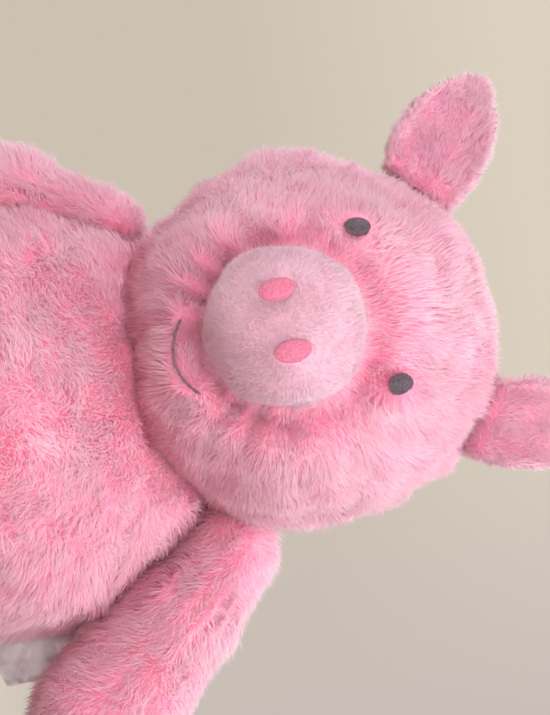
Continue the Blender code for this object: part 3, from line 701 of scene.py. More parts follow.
def fill_strands(mesh, points, normals, shades):
    """Give a mesh its strands, with the points, the normals and the cell of the map of each."""
    each = np.arange(len(points))[:, None]
    corners = np.concatenate(STRAND_FACES)
    starts = np.cumsum([0] + [len(face) for face in STRAND_FACES[:-1]])
    loops = each * STRAND_POINTS + corners
    places = (shades[:, None] + np.array(CELL_SPOTS)[corners]) / CELLS
    mesh.vertices.add(len(points) * STRAND_POINTS)
    mesh.vertices.foreach_set("co", points.astype(np.float32).ravel())
    mesh.loops.add(loops.size)
    mesh.loops.foreach_set("vertex_index", loops.astype(np.int32).ravel())
    mesh.polygons.add(len(points) * len(STRAND_FACES))
    starts = each * len(corners) + starts
    mesh.polygons.foreach_set("loop_start", starts.astype(np.int32).ravel())
    mesh.update(calc_edges=True)
    layer = mesh.attributes.new("custom_normal", "FLOAT_VECTOR", "POINT")
    layer.data.foreach_set("vector", normals.astype(np.float32).ravel())
    layer = mesh.uv_layers.new(name="OFBake")
    layer.uv.foreach_set("vector", places.astype(np.float32).ravel())


def strands(name, body, look, roots, middles, tips, facing, shades):
    """Closed tapered strands, shaded much as the cloth under them, attached as the other pieces of
    their body are.
    """
    count = len(roots)
    axis = unit_rows(middles - roots)
    side = unit_rows(np.cross(axis, random.normal(size=(count, 3))))
    over = np.cross(axis, side)
    points = np.empty((count, STRAND_POINTS, 3))
    normals = np.repeat(facing[:, None], STRAND_POINTS, 1)
    for k in range(3):
        angle = 2 * math.pi * k / 3
        ring = (side * math.cos(angle) + over * math.sin(angle)) * look.radius
        points[:, k] = roots + ring
        points[:, 3 + k] = middles + ring * MIDDLE_TAPER
        out = ring / look.radius
        under = np.maximum(-(out * facing).sum(1, keepdims=True), 0)
        normals[:, [k, 3 + k]] += (out * (OWN_SHADE + UNDER_SHADE * under))[:, None]
    points[:, 6] = tips
    normals[:, 6] = facing + axis
    points[:, :, 2] = np.maximum(points[:, :, 2], FLOOR_CLEAR)
    for start in range(0, count, PIECE_STRANDS):
        part = slice(start, start + PIECE_STRANDS)
        mesh = bpy.data.meshes.new(f"{name}_{start // PIECE_STRANDS + 1}")
        fill_strands(mesh, points[part], normals[part], shades[part])
        mesh.materials.append(look.material)
        mesh.shade_smooth()
        piece = bpy.data.objects.new(mesh.name, mesh)
        STAGE.objects.link(piece)
        attach(piece, body)


def grow_pile(name, body, cover, brushed, look, keep=None, shorten=None, deep=None):
    """Pile on a cover, leaning the way it is brushed and gathered in tufts."""
    points, normals = cover.roots(look.density)
    if keep:
        kept = keep(points, normals)
        points, normals = points[kept], normals[kept]
    count = len(points)
    seed = sum(map(ord, name))

    def waves(size, turn):
        """A smooth random field that is this pile's own."""
        return Waves(size, seed + turn)(points)

    way = brushed(points, normals) + WANDER * vector_waves(WANDER_SIZES[0], seed, points)
    way += WANDER * vector_waves(WANDER_SIZES[1], seed + 10, points)
    way += look.stray * random.normal(size=(count, 3))
    way = unit_rows(way - normals * (way * normals).sum(1, keepdims=True))
    tilt = look.lean + LEAN_WAVES * waves(0.02, 20) + LEAN_STRAY * random.normal(size=count)
    tilt = np.radians(np.clip(tilt, *LEAN_RANGE))[:, None]
    long = look.length * (1 + LENGTH_WAVES * waves(0.011, 30))
    long *= random.uniform(*LENGTH_RANGE, count)
    if shorten:
        long *= shorten(points)
    long = np.clip(long, SHORTEST, LONGEST_SHARE * look.length)[:, None]
    grown = np.minimum(long / look.length, 1)
    rise, run = long * np.cos(tilt), long * np.sin(tilt)
    middles = points + normals * rise * MIDDLE_RISE + way * run * MIDDLE_RUN
    tips = points + normals * rise + way * run
    centre = tufts(points, look.tuft)
    pull = look.gather * (PULL + PULL_WAVES * waves(0.03, 40))[:, None]
    pull = np.clip(pull, *PULL_RANGE) * grown
    tips = tips + (tips[centre] - tips) * pull
    middles = middles + (middles[centre] - middles) * pull * MIDDLE_PULL
    shade = SHADE + SHADE_WAVES * waves(0.012, 50) + SHADE_STRAY * random.normal(size=count)
    # Pile in creases moves towards the deeper colour: painted shade
    if deep:
        shade -= CREASE_PAINTED_SHADE * deep(points)
    hue = HUE + HUE_WAVES * waves(0.03, 60) + HUE_STRAY * random.normal(size=count)
    shades = np.floor(np.stack([shade, hue], 1).clip(0, 0.999) * CELLS)
    roots = points - normals * ROOT_DEPTH
    spread = (tips - tips[centre]) / look.tuft * TUFT_SHADE
    facing = unit_rows(normals + spread * grown)
    strands(name, body, look, roots, middles, tips, facing, shades)


# Small sewn things


def tube(points, radii, sides):
    """A closed tube along points, as points and faces."""
    ahead = unit_rows(np.gradient(points, axis=0))
    up = np.where(np.abs(ahead[:, 2:]) > 0.9, (1.0, 0.0, 0.0), (0.0, 0.0, 1.0))
    side = unit_rows(np.cross(ahead, up))
    over = np.cross(side, ahead)
    rings = []
    for k in range(sides):
        angle = 2 * math.pi * k / sides
        rings.append(points + (side * math.cos(angle) - over * math.sin(angle)) * radii[:, None])
    rings = np.stack(rings, 1).reshape(-1, 3)
    rings = np.concatenate([rings, points[:1], points[-1:]])
    faces, last = [], len(points) - 1
    for row in range(last):
        for k in range(sides):
            a, b = row * sides + k, row * sides + (k + 1) % sides
            faces += [[a, a + sides, b], [b, a + sides, b + sides]]
    first_cap, last_cap = len(points) * sides, len(points) * sides + 1
    for k in range(sides):
        after = (k + 1) % sides
        faces += [[first_cap, k, after], [last_cap, last * sides + after, last * sides + k]]
    return rings, np.array(faces)


def sewn(name, threads, material):
    """Closed threads, each of points and faces, as one piece with its faces outwards."""
    starts = np.cumsum([0] + [len(points) for points, _ in threads])
    points = np.concatenate([points for points, _ in threads])
    faces = np.concatenate([faces + start for (_, faces), start in zip(threads, starts)])
    piece = new_mesh(name, points, faces, material)
    shape = bmesh.new()
    shape.from_mesh(piece.data)
    bmesh.ops.recalc_face_normals(shape, faces=shape.faces)
    shape.to_mesh(piece.data)
    shape.free()
    return piece


def satin_oval(name, centre, normal, size, surface, material):
    """A padded oval of satin stitch: threads side by side over a raised pad."""
    place = LEAN @ frame_at(centre, normal, ACROSS)
    half_width, half_height = size
    pad_width, pad_height = (half * PAD_SHARE for half in size)
    rows = int(2 * half_height / THREAD_PITCH)
    steps = np.linspace(-1, 1, 9)
    threads = []
    for row in range(rows):
        rise = -half_height + (row + 0.5) * 2 * half_height / rows
        half = half_width * math.sqrt(max(1 - (rise / half_height) ** 2, 0.02))
        half *= 1 + 0.03 * random.normal()
        across = steps * half
        slant = rise + THREAD_SLANT * across
        pad = np.clip(1 - (across / pad_width) ** 2 - (rise / pad_height) ** 2, 0, 1)
        height = surface(across, slant) + STITCH_HEIGHT * np.sqrt(pad) - THREAD_RADIUS
        height -= np.where(np.abs(steps) > 0.99, THREAD_TUCK, 0)
        points = move(place, np.stack([across, slant, height], 1))
        threads.append(tube(points, np.full(len(steps), THREAD_RADIUS), 6))
    return sewn(name, threads, material)


def stitch_line(name, points, normals, material):
    """A row of back stitches that follow a line, each a short plump thread."""
    threads = []
    along = np.linspace(-0.08, 1.08, 8)[:, None]
    arch = 0.00055 * np.sqrt(np.clip(1 - (2 * along - 1) ** 2 * 0.72, 0, 1))
    radii = 0.00065 * np.sqrt(np.clip(1 - ((2 * along[:, 0] - 1) / 1.2) ** 4, 0.05, 1))
    for start, end, normal in zip(points[:-1], points[1:], normals):
        threads.append(tube(start + (end - start) * along + normal * arch, radii, 8))
    return sewn(name, threads, material)


# Places on the face


def face_spots(places, grow):
    """Spots on the face, from their places across and up."""
    return [LEAN @ head_front(*place, grow) for place in places]


EYES = {side: (sign * EYE_SPACING / 2, EYE_RISE) for side, sign in SIDES.items()}
MOUTH_SHARES = np.linspace(-1, 1, 11)
MOUTH_PLACES = [(s * MOUTH_WIDTH / 2, -MOUTH_DROP + MOUTH_SAG * s**2) for s in MOUTH_SHARES]
EYE_SPOTS, EYES_UNDER = (face_spots(EYES.values(), grow) for grow in (0.0, -COVER_INSET))
MOUTH_SPOTS, MOUTH_UNDER = (face_spots(MOUTH_PLACES, grow) for grow in (0.0005, -COVER_INSET))
EAR_SPOTS = [
    EAR_ROOTS[side] @ Vector((share * EAR_ROOT_HALF, 0, -COVER_INSET))
    for side in SIDES
    for share in (-1, 0, 1)
]


def spot_distance(points, spots):
    """How far points are from the nearest of a few spots."""
    gaps = [np.linalg.norm(points - np.array(spot), axis=1) for spot in spots]
    return np.min(gaps, axis=0)


def round_snout(points):
    """How far points are ahead of the snout's tip and off its axis, and their way off it."""
    away = points - SNOUT_TIP
    ahead = away @ SNOUT_AXIS
    flat = away - np.outer(ahead, SNOUT_AXIS)
    return ahead, np.linalg.norm(flat, axis=1), flat


def closeness(points, inside):
    """How close points are to another form, from none to one."""
    return np.mean([inside(points, grow) for grow in (0.003, 0.006, 0.009, 0.012, 0.015)], axis=0)


# Head

HEAD_LUMPS, TORSO_LUMPS, LIMB_LUMPS = Waves(0.05, 3), Waves(0.06, 7), Waves(0.04, 11)
PLEATS = Waves(0.05, 15)
# Round the snout: how far from its axis a form is, and how wide
PLEAT_RING, PUFF_RING = (0.038, 0.011), (0.047, 0.007)
EDGE_RING, GROOVE_RING = (0.0295, 0.0055), (0.0345, 0.0042)
PLEAT_COUNT, PLEAT_HEIGHT, PUFF_HEIGHT, EDGE_DEPTH, GROOVE_DEPTH = 17, 0.0014, 0.0034, 0.001, 0.005


def head_folds(points):
    """Lumps of filling, the gathered ring round the snout, and pleats fanning from the chin."""
    ahead, ring, flat = round_snout(points)
    front = smooth_step(-0.075, -0.035, ahead)
    local = flat @ np.array(LEAN.to_3x3()).astype(float)
    turned = np.arctan2(local[:, 2], local[:, 0])
    low = smooth_step(0.3, -0.9, np.sin(turned)) * 0.7 + 0.3
    pleats = np.cos(PLEAT_COUNT * turned + 1.2 * PLEATS(points)) * bump(ring, *PLEAT_RING) * low
    puff = PUFF_HEIGHT * bump(ring, *PUFF_RING) * (0.5 + 0.5 * low)
    groove = -EDGE_DEPTH * bump(ring, *EDGE_RING) - GROOVE_DEPTH * bump(ring, *GROOVE_RING) * low
    lumps = 0.0011 * HEAD_LUMPS(points)
    raised = 0.0050 * bump(spot_distance(points, EYES_UNDER), 0, 0.0062)
    raised += 0.0046 * bump(spot_distance(points, MOUTH_UNDER), 0, 0.0034)
    gathered = front * (puff + groove + PLEAT_HEIGHT * pleats)
    return lumps * (1 - raised / 0.005) + raised + gathered


def head_brushed(points, normals):
    """Away from the snout over the face, and down the back."""
    away = unit_rows(points - SNOUT_TIP - SNOUT_AXIS * 0.01)
    back = smooth_step(-0.03, 0.03, points[:, 1])[:, None]
    return away * (1 - back) + np.array([0, 0.25, -1.0]) * back


def head_keep(points, normals):
    """Pile grows off the head where nothing is sewn to it."""
    ahead, ring, _ = round_snout(points)
    clear = spot_distance(points, EYE_SPOTS) > 0.0046
    clear &= spot_distance(points, MOUTH_SPOTS) > 0.0014
    clear &= ~((ring < SNOUT_RADIUS - 0.003) & (ahead > -0.06))
    under = (points - np.array(NECK)) / np.array([DOME_HALF_WIDTH, DOME_RADIUS, DOME_RADIUS])
    return clear & (np.linalg.norm(under, axis=1) > 1.02)


def head_painted_shade(points):
    """Painted shade on the pile in the crease round the snout and at the neck."""
    ahead, ring, _ = round_snout(points)
    crease = bump(ring, 0.033, 0.005) * smooth_step(-0.075, -0.04, ahead)
    return np.maximum(crease, closeness(points, in_torso))


def head_shorten(points):
    """Pile is shorter round the snout, the eyes and the mouth, and longer at the ears' roots."""
    ahead, ring, _ = round_snout(points)
    near = 1 - 0.5 * bump(ring, 0.030, 0.007) * smooth_step(-0.075, -0.04, ahead)
    near *= 1 + 0.3 * bump(spot_distance(points, EAR_SPOTS), 0, 0.010)
    near *= 0.25 + 0.75 * smooth_step(0.004, 0.011, spot_distance(points, EYE_SPOTS))
    near *= 0.25 + 0.75 * smooth_step(0.0012, 0.007, spot_distance(points, MOUTH_SPOTS))
    return near


def dome_form(units, grow):
    """The torso's dome under the head, grown or shrunk."""
    size = np.array([DOME_HALF_WIDTH + grow, DOME_RADIUS + grow, DOME_RADIUS + grow])
    return units * size + np.array(NECK)


head_cover = Cover(head_form, 6, COVER_INSET, head_folds)
head = head_cover.cloth("head_plush", BACKING, [cutter_of(dome_form, 4, 0.001)])
dress(head, "head", "plush", "head_skin", fill=0.85)
head_look = (head_brushed, HEAD_PILE, head_keep, head_shorten, head_painted_shade)
grow_pile("head_pile", "head", head_cover, *head_look)

# Snout

NOSTRILS = {side: sign * NOSTRIL_SPACING / 2 for side, sign in SIDES.items()}


def snout_front(across, rise):
    """How far the snout's front lies ahead of its solid's tip."""
    share = np.clip(np.hypot(across, rise) / SNOUT_RADIUS, 0, 0.999)
    return (plump(share, SNOUT_FULLNESS) - 1) * SNOUT_DEPTH / 2


NOSTRIL_SPOTS = [
    SNOUT_FRAME @ Vector((across, 0, SNOUT_DEPTH / 2 + snout_front(across, 0) - SNOUT_INSET))
    for across in NOSTRILS.values()
]


def snout_folds(points):
    """A soft unevenness of the disc and its rolled edge."""
    place = move(SNOUT_FRAME.inverted(), points)
    ring = np.hypot(place[:, 0], place[:, 1])
    rolled = 0.0005 * bump(ring, 0.024, 0.003)
    sunk = -0.0010 * (1 - smooth_step(0.006, 0.02, ring)) * (place[:, 2] > 0)
    under = 0.0018 * bump(spot_distance(points, NOSTRIL_SPOTS), 0, 0.0072)
    return 0.0005 * LIMB_LUMPS(points * 1.4) + rolled + sunk + under


def in_nostril(points, grow):
    """Whether points of the snout's front lie on a nostril."""
    place = move(SNOUT_FRAME.inverted(), points)
    half_width, half_height = (size + grow for size in NOSTRIL_SIZE)
    inside = np.zeros(len(points), bool)
    for across in NOSTRILS.values():
        inside |= ((place[:, 0] - across) / half_width) ** 2 + (place[:, 1] / half_height) ** 2 < 1
    return inside & (place[:, 2] > 0)


def snout_brushed(points, normals):
    """Out from the middle and back along the side band."""
    return unit_rows(points - SNOUT_TIP - SNOUT_AXIS * 0.004)


def snout_keep(points, normals):
    """Pile grows off the snout outside the head and the nostrils."""
    return ~in_nostril(points, 0.0004) & ~in_head(points, -0.006)


snout_cover = Cover(snout_form, 5, SNOUT_INSET, snout_folds)
snout = snout_cover.cloth("snout_plush", SNOUT_BACKING, [cutter_of(head_form, 5, -0.009)])
dress(snout, "head", "snout", "snout_skin", fill=0.9)
grow_pile("snout_pile", "head", snout_cover, snout_brushed, SNOUT_PILE, snout_keep)

# Stitched face

FACE_CURVE = 0.07


def make_eye(side, across, rise):
    """A stitched eye that follows the face's curve."""
    eye = satin_oval(
        f"eye_stitched_{side}",
        head_front(across, rise),
        face_normal(across, rise),
        EYE_SIZE,
        lambda x, y: -(x**2 + y**2) / (2 * FACE_CURVE),
        EYE_THREAD,
    )
    dress(eye, "head", "thread", f"eye_{side}")


def make_nostril(side, middle):
    """A stitched nostril that follows the snout's front."""
    depth = float(snout_front(middle, 0))
    nostril = satin_oval(
        f"nostril_stitched_{side}",
        SNOUT_FACE + Vector((middle, -depth, 0)),
        FRONT,
        NOSTRIL_SIZE,
        lambda across, rise: snout_front(across + middle, rise) - depth,
        NOSTRIL_THREAD,
    )
    dress(nostril, "head", "nostril", f"nostril_{side}")


for side, place in EYES.items():
    make_eye(side, *place)
for side, middle in NOSTRILS.items():
    make_nostril(side, middle)
mouth_points = np.array(face_spots(MOUTH_PLACES, 0.0002))
mouth_normals = np.array([LEAN.to_3x3() @ face_normal(*place) for place in MOUTH_PLACES])
mouth = stitch_line("mouth_stitched", mouth_points, mouth_normals, MOUTH_THREAD)
dress(mouth, "head", "thread", "mouth_stitch")

# Ears


def ear_place(side, points):
    """How far points are along an ear, out to its rim, and behind its cup."""
    place = move(EAR_ROOTS[side].inverted(), points)
    share = np.clip(place[:, 2] / EAR_LENGTH, 0.001, 0.999)
    across = place[:, 0] - leaf_lean(share, side)
    return share, across / leaf_half_width(share, 0.0), place[:, 1] + leaf_cup(across, share)


def ear_lining_and_painted_shade(side, points):
    """Whether points lie in an ear's cup, within its rim and as far as its deeper lining pile reaches,
    which on the right ear is the half given painted shade.
    """
    share, rim, behind = ear_place(side, points)
    return (behind < 0) & (np.abs(rim) < 0.8) & (rim < EAR_PAINTED_SHADE_REACH[side]) & (share < 0.86)


def make_ear(side):
    """An ear's cover, its pile, the pile over its edge, and the short deeper pile in its cup, partly
    painted shade.
    """
    body = f"ear_{side}"
    root = EAR_ROOTS[side]

    def brushed(points, normals):
        """Along the ear to its tip, and over its root onto the head."""
        share = move(root.inverted(), points)[:, 2:3] / EAR_LENGTH
        return np.array(root.to_3x3() @ UP) * (2 * smooth_step(0.03, 0.14, share) - 1)

    def edge_brushed(points, normals):
        """Out over the ear's edge."""
        share, rim, _ = ear_place(side, points)
        return turn(root, unit_rows(np.stack([rim, np.zeros(len(rim)), share], 1)))

    def outer_keep(points, normals):
        """Long pile grows outside the deeper lining and the head, so the right ear's cup is pale
        beyond the painted shade.
        """
        return ~ear_lining_and_painted_shade(side, points) & ~in_head(points, -0.007)

    def edge_keep(points, normals):
        """More long pile grows near the ear's edge."""
        share, rim, _ = ear_place(side, points)
        return (np.maximum(np.abs(rim), share) > 0.76) & ~in_head(points, -0.005)

    def inner_keep(points, normals):
        """Short, deeper pile, partly painted shade, grows in the ear's cup as far as the lining
        reaches.
        """
        return ear_lining_and_painted_shade(side, points) & ~in_head(points, -0.007)

    cover = Cover(ear_form(side), 5, EAR_INSET)
    ear = cover.cloth(f"ear_plush_{side}", BACKING)
    dress(ear, body, "plush", body, f"ear_lining_{side}", fill=0.3)
    for kind, way, look, keep in (
        ("ear_pile", brushed, EAR_PILE, outer_keep),
        ("ear_rim_pile", edge_brushed, EAR_RIM_PILE, edge_keep),
        ("ear_inner_pile", brushed, EAR_INNER_PILE, inner_keep),
    ):
        grow_pile(f"{kind}_{side}", body, cover, way, look, keep)


for side in SIDES:
    make_ear(side)

# Torso

SHOULDER_SPOTS = [(0.050, 0, 0.150), (-0.054, 0, 0.147)]


def torso_folds(points):
    """Lumps of filling, the drawn-in side seams, and creases and a swell where the arms pull."""
    lumps = 0.0014 * TORSO_LUMPS(points)
    seam = -0.0012 * bump(points[:, 1], 0.0, 0.004) * smooth_step(0.05, 0.07, np.abs(points[:, 0]))
    creases = 0.0012 * np.sin(points[:, 2] * 420 + 2.5 * PLEATS(points))
    near_arm = bump(np.abs(points[:, 0]), 0.08, 0.022) * bump(points[:, 2], 0.118, 0.022)
    shoulder = 0.006 * bump(spot_distance(points, SHOULDER_SPOTS), 0, 0.02)
    return lumps + seam + creases * near_arm + shoulder


def torso_brushed(points, normals):
    """Down the body, and a little out to the sides."""
    return np.array([0, 0, -1.0]) + points * np.array([3.0, 0, 0])


def torso_keep(points, normals):
    """Pile grows off the torso above the seat and outside the neck seam."""
    neck = np.hypot(points[:, 0], points[:, 1] + 0.006) < 0.022
    return (points[:, 2] > 0.001) & ~(neck & (points[:, 2] > 0.14))


def flattened(points):
    """Pile is pressed short under the head and near the surface that it stands on."""
    low = 0.25 + 0.75 * smooth_step(0.001, 0.012, points[:, 2])
    return np.where(in_head(points, 0.002), 0.5, 1.0) * low


def torso_painted_shade(points):
    """Painted shade on the pile at the neck and round the roots of the arms."""
    arms = [
        closeness(points, lambda spots, grow: in_limb(*LIMBS[f"arm_{side}"], spots, grow))
        for side in SIDES
    ]
    return np.maximum(closeness(points, in_head), 0.7 * np.maximum(*arms))


torso_cover = Cover(torso_form, 6, COVER_INSET, torso_folds)
torso = torso_cover.cloth("torso_plush", BACKING)
dress(torso, "torso", "plush", "torso_skin", fill=0.8)
torso_look = (torso_brushed, TORSO_PILE, torso_keep, flattened, torso_painted_shade)
grow_pile("torso_pile", "torso", torso_cover, *torso_look)

# Limbs

torso_cutter = cutter_of(torso_form, 5, -0.0045)
head_room = cutter_of(head_form, 5, 0.002)


def limb_folds(limb, size):
    """A function for lumps of filling, puckers at the root seam, and seams along both sides."""

    def folds(points):
        place = move(limb.inverted(), points)
        turned = np.arctan2(place[:, 1], place[:, 0])
        puckers = np.cos(11 * turned + PLEATS(points)) * bump(place[:, 2], 0.022, 0.014)
        seam = -0.0009 * bump(np.abs(place[:, 1]), 0.0, 0.003)
        root = 0.004 * smooth_step(0.018, -0.012, place[:, 2])
        if size is LEG_SIZE:
            root += 0.0046 * smooth_step(0.080, 0.104, place[:, 2])
        return 0.001 * LIMB_LUMPS(points) + 0.0009 * puckers + seam + root

    return folds


def limb_painted_shade(points):
    """Painted shade on the pile where a limb meets the torso or the head."""
    return np.maximum(closeness(points, in_head), 0.8 * closeness(points, in_torso))


def make_limb(name, limb, size):
    """An arm's or a leg's cover and pile."""
    kind, side = name.split("_")

    def brushed(points, normals):
        """Along the limb to its tip, and a little down."""
        along = np.array(limb.to_3x3() @ UP)
        return np.tile(along + np.array([0, 0, -0.35]), (len(points), 1))

    def keep(points, normals):
        """Pile grows off the limb outside the torso and the head, and off its sole."""
        kept = ~in_torso(points, -0.006) & ~in_head(points, 0.001)
        if kind == "arm":
            return kept
        place = move(limb.inverted(), points)
        ring = np.hypot(place[:, 0], place[:, 1])
        return kept & ~((ring < SOLE_RADIUS - 0.0025) & (place[:, 2] > 0.1))

    def shorten(points):
        """Pile is short under the head, near the floor and round the sole."""
        if kind == "arm":
            return flattened(points)
        foot = 0.5 * smooth_step(0.082, 0.106, move(limb.inverted(), points)[:, 2])
        return flattened(points) * (1 - foot)

    cover = Cover(limb_form(limb, size), 5, COVER_INSET, limb_folds(limb, size))
    cutters = [torso_cutter, head_room] if kind == "arm" else [torso_cutter]
    cloth = cover.cloth(f"{kind}_plush_{side}", BACKING, cutters)
    dress(cloth, name, "plush", f"{kind}_skin_{side}", fill=0.8)
    grow_pile(f"{kind}_pile_{side}", name, cover, brushed, LIMB_PILE, keep, shorten, limb_painted_shade)


for name, (limb, size) in LIMBS.items():
    make_limb(name, limb, size)

# Soles: short-pile discs sewn on the feet


def make_sole(side):
    """A foot's sole and its pile."""
    body = f"leg_{side}"
    limb, (radius, root, length, taper) = LIMBS[body]

    def form(units, grow):
        """A pad that lies on the flat end of the foot."""
        across = units[:, :2] * (SOLE_RADIUS - 0.0006 + grow * 0.5)
        ring = np.linalg.norm(across, axis=1)
        wide = radius * (1 + taper)
        end = length + (plump(ring / wide, LIMB_FULLNESS) - 1) * (root + length) / 2
        along = end + np.where(units[:, 2] > 0, 0.0012 * units[:, 2], 0.003 * units[:, 2]) - 0.001
        return move(limb, np.column_stack([across, along + grow]))

    def brushed(points, normals):
        """Out from the middle of the sole."""
        place = move(limb.inverted(), points)
        place[:, 2] = 0
        return turn(limb, unit_rows(place))

    def keep(points, normals):
        """Pile grows off the sole's outer side."""
        return normals @ np.array(limb.to_3x3() @ UP) > -0.2

    cover = Cover(form, 4, SOLE_INSET)
    sole = cover.cloth(f"sole_plush_{side}", SNOUT_BACKING)
    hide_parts(f"sole_{side}")
    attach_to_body(sole, body)
    grow_pile(f"sole_pile_{side}", body, cover, brushed, SOLE_PILE, keep)


for side in SIDES:
    make_sole(side)

# Tail: a stuffed curl


def tail_line(share):
    """The middle line of the curl, and its radius, at shares of its length."""
    turned = 2 * math.pi * TAIL_TURNS * share
    widen = np.minimum(share / TAIL_WIDEN, 1)
    coil = TAIL_COIL * widen**2 * (3 - 2 * widen)
    back = TAIL_STEM * widen + TAIL_PITCH * TAIL_TURNS * share
    line = np.stack([coil * np.sin(turned), back, -coil * np.cos(turned)], 1) + np.array(TAIL_ROOT)
    return line, TAIL_RADIUS * (1 - (1 - TAIL_TIP_SHARE) * share)


class Tube(Cover):
    """The surface of a tube round a line, with round ends."""

    def __init__(self, line, rows, inset):
        middle, radii = line(np.linspace(0, 1, rows))
        radii = radii - inset
        start, end = middle[0] - middle[1], middle[-1] - middle[-2]
        start, end = start / np.linalg.norm(start), end / np.linalg.norm(end)
        caps = np.cos(np.linspace(0, math.pi / 2, 5)[1:])
        first = [middle[0] + start * radii[0] * math.sqrt(1 - c * c) * 0.9 for c in caps][::-1]
        last = [middle[-1] + end * radii[-1] * math.sqrt(1 - c * c) * 0.9 for c in caps]
        middle = np.concatenate([first, middle, last])
        caps = np.maximum(caps, 0.05)
        radii = np.concatenate([radii[0] * caps[::-1], radii, radii[-1] * caps])
        self.points, self.faces = tube(middle, radii, 16)
        self.inner, _ = tube(middle, np.maximum(radii - CLOTH, 0.0001), 16)
        self.normals = vertex_normals(self.points, self.faces)
        if ((self.points - self.inner) * self.normals).sum() < 0:
            self.faces, self.normals = self.faces[:, ::-1], -self.normals


def tail_brushed(points, normals):
    """Along the curl, towards its tip."""
    line, _ = tail_line(np.linspace(0, 1, 80))
    ahead = np.gradient(line, axis=0)
    near = [int(np.argmin(np.linalg.norm(line - point, axis=1))) for point in points]
    return unit_rows(ahead[near])


def tail_keep(points, normals):
    """Pile grows off the tail outside the torso."""
    return ~in_torso(points, -0.004)


tail_cover = Tube(tail_line, 60, TAIL_INSET)
dress(tail_cover.cloth("tail_plush", BACKING), "tail", "plush", "tail", fill=0.7)
grow_pile("tail_pile", "tail", tail_cover, tail_brushed, TAIL_PILE, tail_keep)

# Side label: a blank satin ribbon, folded in two and creased

RIBBON_STEPS, RIBBON_ROWS, RIBBON_GAP, RIBBON_THICKNESS = 48, 32, 0.0013, 0.0003


def ribbon(name):
    """A folded ribbon that comes out of the left side seam."""
    turned = np.linspace(-math.pi / 2, math.pi / 2, RIBBON_STEPS)
    heights = LABEL_HEIGHT + np.linspace(-1, 1, RIBBON_ROWS) * LABEL_WIDTH / 2
    angles, rises = (grid.ravel() for grid in np.meshgrid(turned, heights))
    half_depth = flank(rises, TORSO_HALF_DEPTH, DOME_RADIUS, 0.0)
    seam = flank(rises, TORSO_HALF_WIDTH, DOME_HALF_WIDTH, 0.0)
    seam *= np.sqrt(1 - (LABEL_BACK / half_depth) ** 2)
    root = seam - 0.005
    tip = seam.max() + LABEL_REACH - 0.0006
    out = root + (tip - root) * np.cos(angles)
    points = np.stack([out, LABEL_BACK + RIBBON_GAP * np.sin(angles), rises], 1)
    free = np.clip((out - root) / 0.02, 0, 1)
    flat = points * np.array([1, 0, 1])
    points[:, 1] += (0.0013 * Waves(0.011, 31)(flat) + 0.0004 * Waves(0.004, 33)(flat)) * free
    points[:, 2] += 0.0006 * Waves(0.016, 35)(flat) * free
    faces = []
    for row in range(RIBBON_ROWS - 1):
        for step in range(RIBBON_STEPS - 1):
            a = row * RIBBON_STEPS + step
            b = a + RIBBON_STEPS
            faces += [[a, a + 1, b], [a + 1, b + 1, b]]
    piece = new_mesh(name, points, np.array(faces), SATIN)
    thickness = piece.modifiers.new("thickness", "SOLIDIFY")
    thickness.thickness, thickness.offset = RIBBON_THICKNESS, 0
    apply_modifiers(piece)
    return piece


label = ribbon("label_ribbon")
dress(label, "torso", "label", "side_label")

# Filling: loose fibre inside each cover, as lumpy as it is pushed in

TANGLE = Waves(0.018, 41)


def make_fibre(name, solid):
    """The filling of a cover, from its solid, with room left under the cover."""
    shape = bmesh.new()
    shape.from_mesh(solid.data)
    bmesh.ops.remove_doubles(shape, verts=shape.verts, dist=0.00001)
    bmesh.ops.triangulate(shape, faces=shape.faces)
    bmesh.ops.subdivide_edges(shape, edges=shape.edges, cuts=2, use_grid_fill=True)
    shape.normal_update()
    points = np.array([v.co for v in shape.verts])
    sunk = 0.0034 + 0.0012 * np.clip(0.5 + 0.4 * TANGLE(points), 0, 1)
    if name == "head_fill":
        sunk += np.clip(-head_folds(points), 0, 0.005)
    for vertex, depth in zip(shape.verts, sunk):
        vertex.co -= vertex.normal * float(depth)
    mesh = bpy.data.meshes.new(name.replace("_fill", "_fibre"))
    shape.to_mesh(mesh)
    shape.free()
    mesh.materials.clear()
    mesh.materials.append(FIBRE)
    mesh.shade_smooth()
    fibre = bpy.data.objects.new(mesh.name, mesh)
    STAGE.objects.link(fibre)
    dress(fibre, solid["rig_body"], "fibre", name, fill=0.7)


for name, solid in frame["nodes"].items():
    if "_fill" in name:
        make_fibre(name, solid)
for cutter in [thing for thing in bpy.data.objects if thing.name.startswith("cutter")]:
    bpy.data.objects.remove(cutter, do_unlink=True)

# Floor, background and light

# Backdrop colours: beige, a paler beige upwards as painted light, and a greyer tone towards the pig's
# left
BEIGE, BEIGE_PAINTED_LIGHT, GREY = srgb(205, 193, 178), srgb(220, 209, 192), srgb(200, 189, 184)
FLOOR_COLOUR, LAMP_COLOUR = srgb(178, 169, 156), (1.0, 0.985, 0.985)
FILL_COLOUR, FILL_STRENGTH = (1.0, 0.985, 0.99, 1), 0.8


def share_of(tree, value, low, high, way="LINEAR"):
    """A node's value as a share of the way from low to high."""
    sources = [("Value", value), ("From Min", low), ("From Max", high)]
    return node(tree, "MapRange", sources, interpolation_type=way).outputs["Result"]


def new_stage():
    """A pale floor that fades away from the pig."""
    bpy.ops.mesh.primitive_plane_add(size=6, location=(0, 0, 0))
    floor = bpy.context.object
    floor.name = "floor"
    material, tree, shader = principled("floor", 0.9, 0.0, 0.1)
    shader.inputs["Base Color"].default_value = FLOOR_COLOUR
    place = node(tree, "TexCoord").outputs["Object"]
    away = node(tree, "VectorMath", [(0, place)], operation="LENGTH").outputs["Value"]
    fade = share_of(tree, away, 0.2, 0.6, "SMOOTHSTEP")
    mixed_shaders(tree, fade, shader, node(tree, "BsdfTransparent"))
    floor.data.materials.append(material)


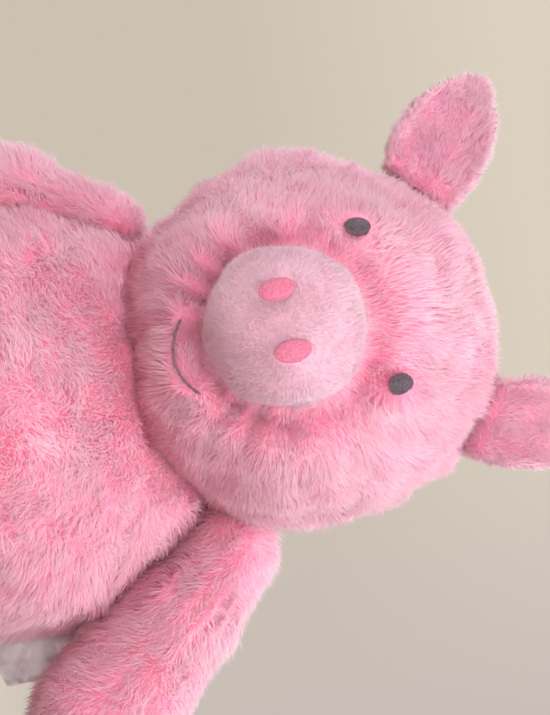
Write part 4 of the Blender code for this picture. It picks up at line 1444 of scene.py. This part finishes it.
def new_world():
    """Beige where it is seen, paler upwards as painted light and greyer towards the pig's left, and
    plain soft fill light on the pig.
    """
    world = bpy.data.worlds.new("studio")
    bpy.context.scene.world = world
    world.use_nodes = True
    tree = world.node_tree
    rays = node(tree, "LightPath").outputs
    seen = sums(tree, "MAXIMUM", rays["Is Camera Ray"], rays["Is Glossy Ray"])
    seen = sums(tree, "MAXIMUM", seen, rays["Is Transmission Ray"])
    way = node(tree, "SeparateXYZ", [(0, node(tree, "TexCoord").outputs["Generated"])]).outputs
    # Paler upwards: painted light on the backdrop
    colour = ramp(tree, way["Z"], [(0.0, BEIGE), (0.16, BEIGE_PAINTED_LIGHT)])
    colour = mixed(tree, share_of(tree, way["X"], -0.06, 0.16), colour, GREY)
    fill = node(tree, "Background", [("Color", FILL_COLOUR), ("Strength", FILL_STRENGTH)])
    backdrop = node(tree, "Background", [("Color", colour), ("Strength", 1.0)])
    mixed_shaders(tree, seen, fill, backdrop)


def new_lamp(name, place, aim, size, power):
    """A soft square lamp aimed at a point."""
    lamp = bpy.data.lights.new(name, "AREA")
    lamp.size, lamp.energy, lamp.color = size, power, LAMP_COLOUR
    holder = bpy.data.objects.new(name, lamp)
    holder.location = place
    holder.rotation_euler = (Vector(aim) - Vector(place)).to_track_quat("-Z", "Y").to_euler()
    STAGE.objects.link(holder)


new_stage()
new_world()
new_lamp("key", (0.85, -0.75, 1.1), (0, 0, 0.15), 0.9, 19)
new_lamp("side", (-1.1, -0.7, 0.6), (0, 0, 0.15), 1.0, 10)
new_lamp("back", (-0.4, 1.4, 0.9), (0, 0, 0.15), 1.2, 12)
new_lamp("front", (0.35, -1.4, 0.2), (0, 0, 0.2), 1.0, 8.2)

# Camera: level with the face, a little to the pig's left, and rolled as the photograph is

AZIMUTH, ROLL = math.radians(5.3), math.radians(80)
DISTANCE, LENS = 0.58, 85
forward = Vector((-math.sin(AZIMUTH), math.cos(AZIMUTH), 0))
level = Vector((math.cos(AZIMUTH), math.sin(AZIMUTH), 0))
right = UP * math.sin(ROLL) + level * math.cos(ROLL)
upward = UP * math.cos(ROLL) - level * math.sin(ROLL)
aimed = Vector(SNOUT_TIP) - right * 0.0034 - upward * 0.0129
turned = Matrix((right, upward, -forward)).transposed().to_4x4()
camera = bpy.data.objects.new("camera", bpy.data.cameras.new("camera"))
camera.data.lens = LENS
camera.matrix_world = Matrix.Translation(aimed - forward * DISTANCE) @ turned
STAGE.objects.link(camera)
bpy.context.scene.camera = camera
bpy.context.scene.view_settings.view_transform = "Standard"
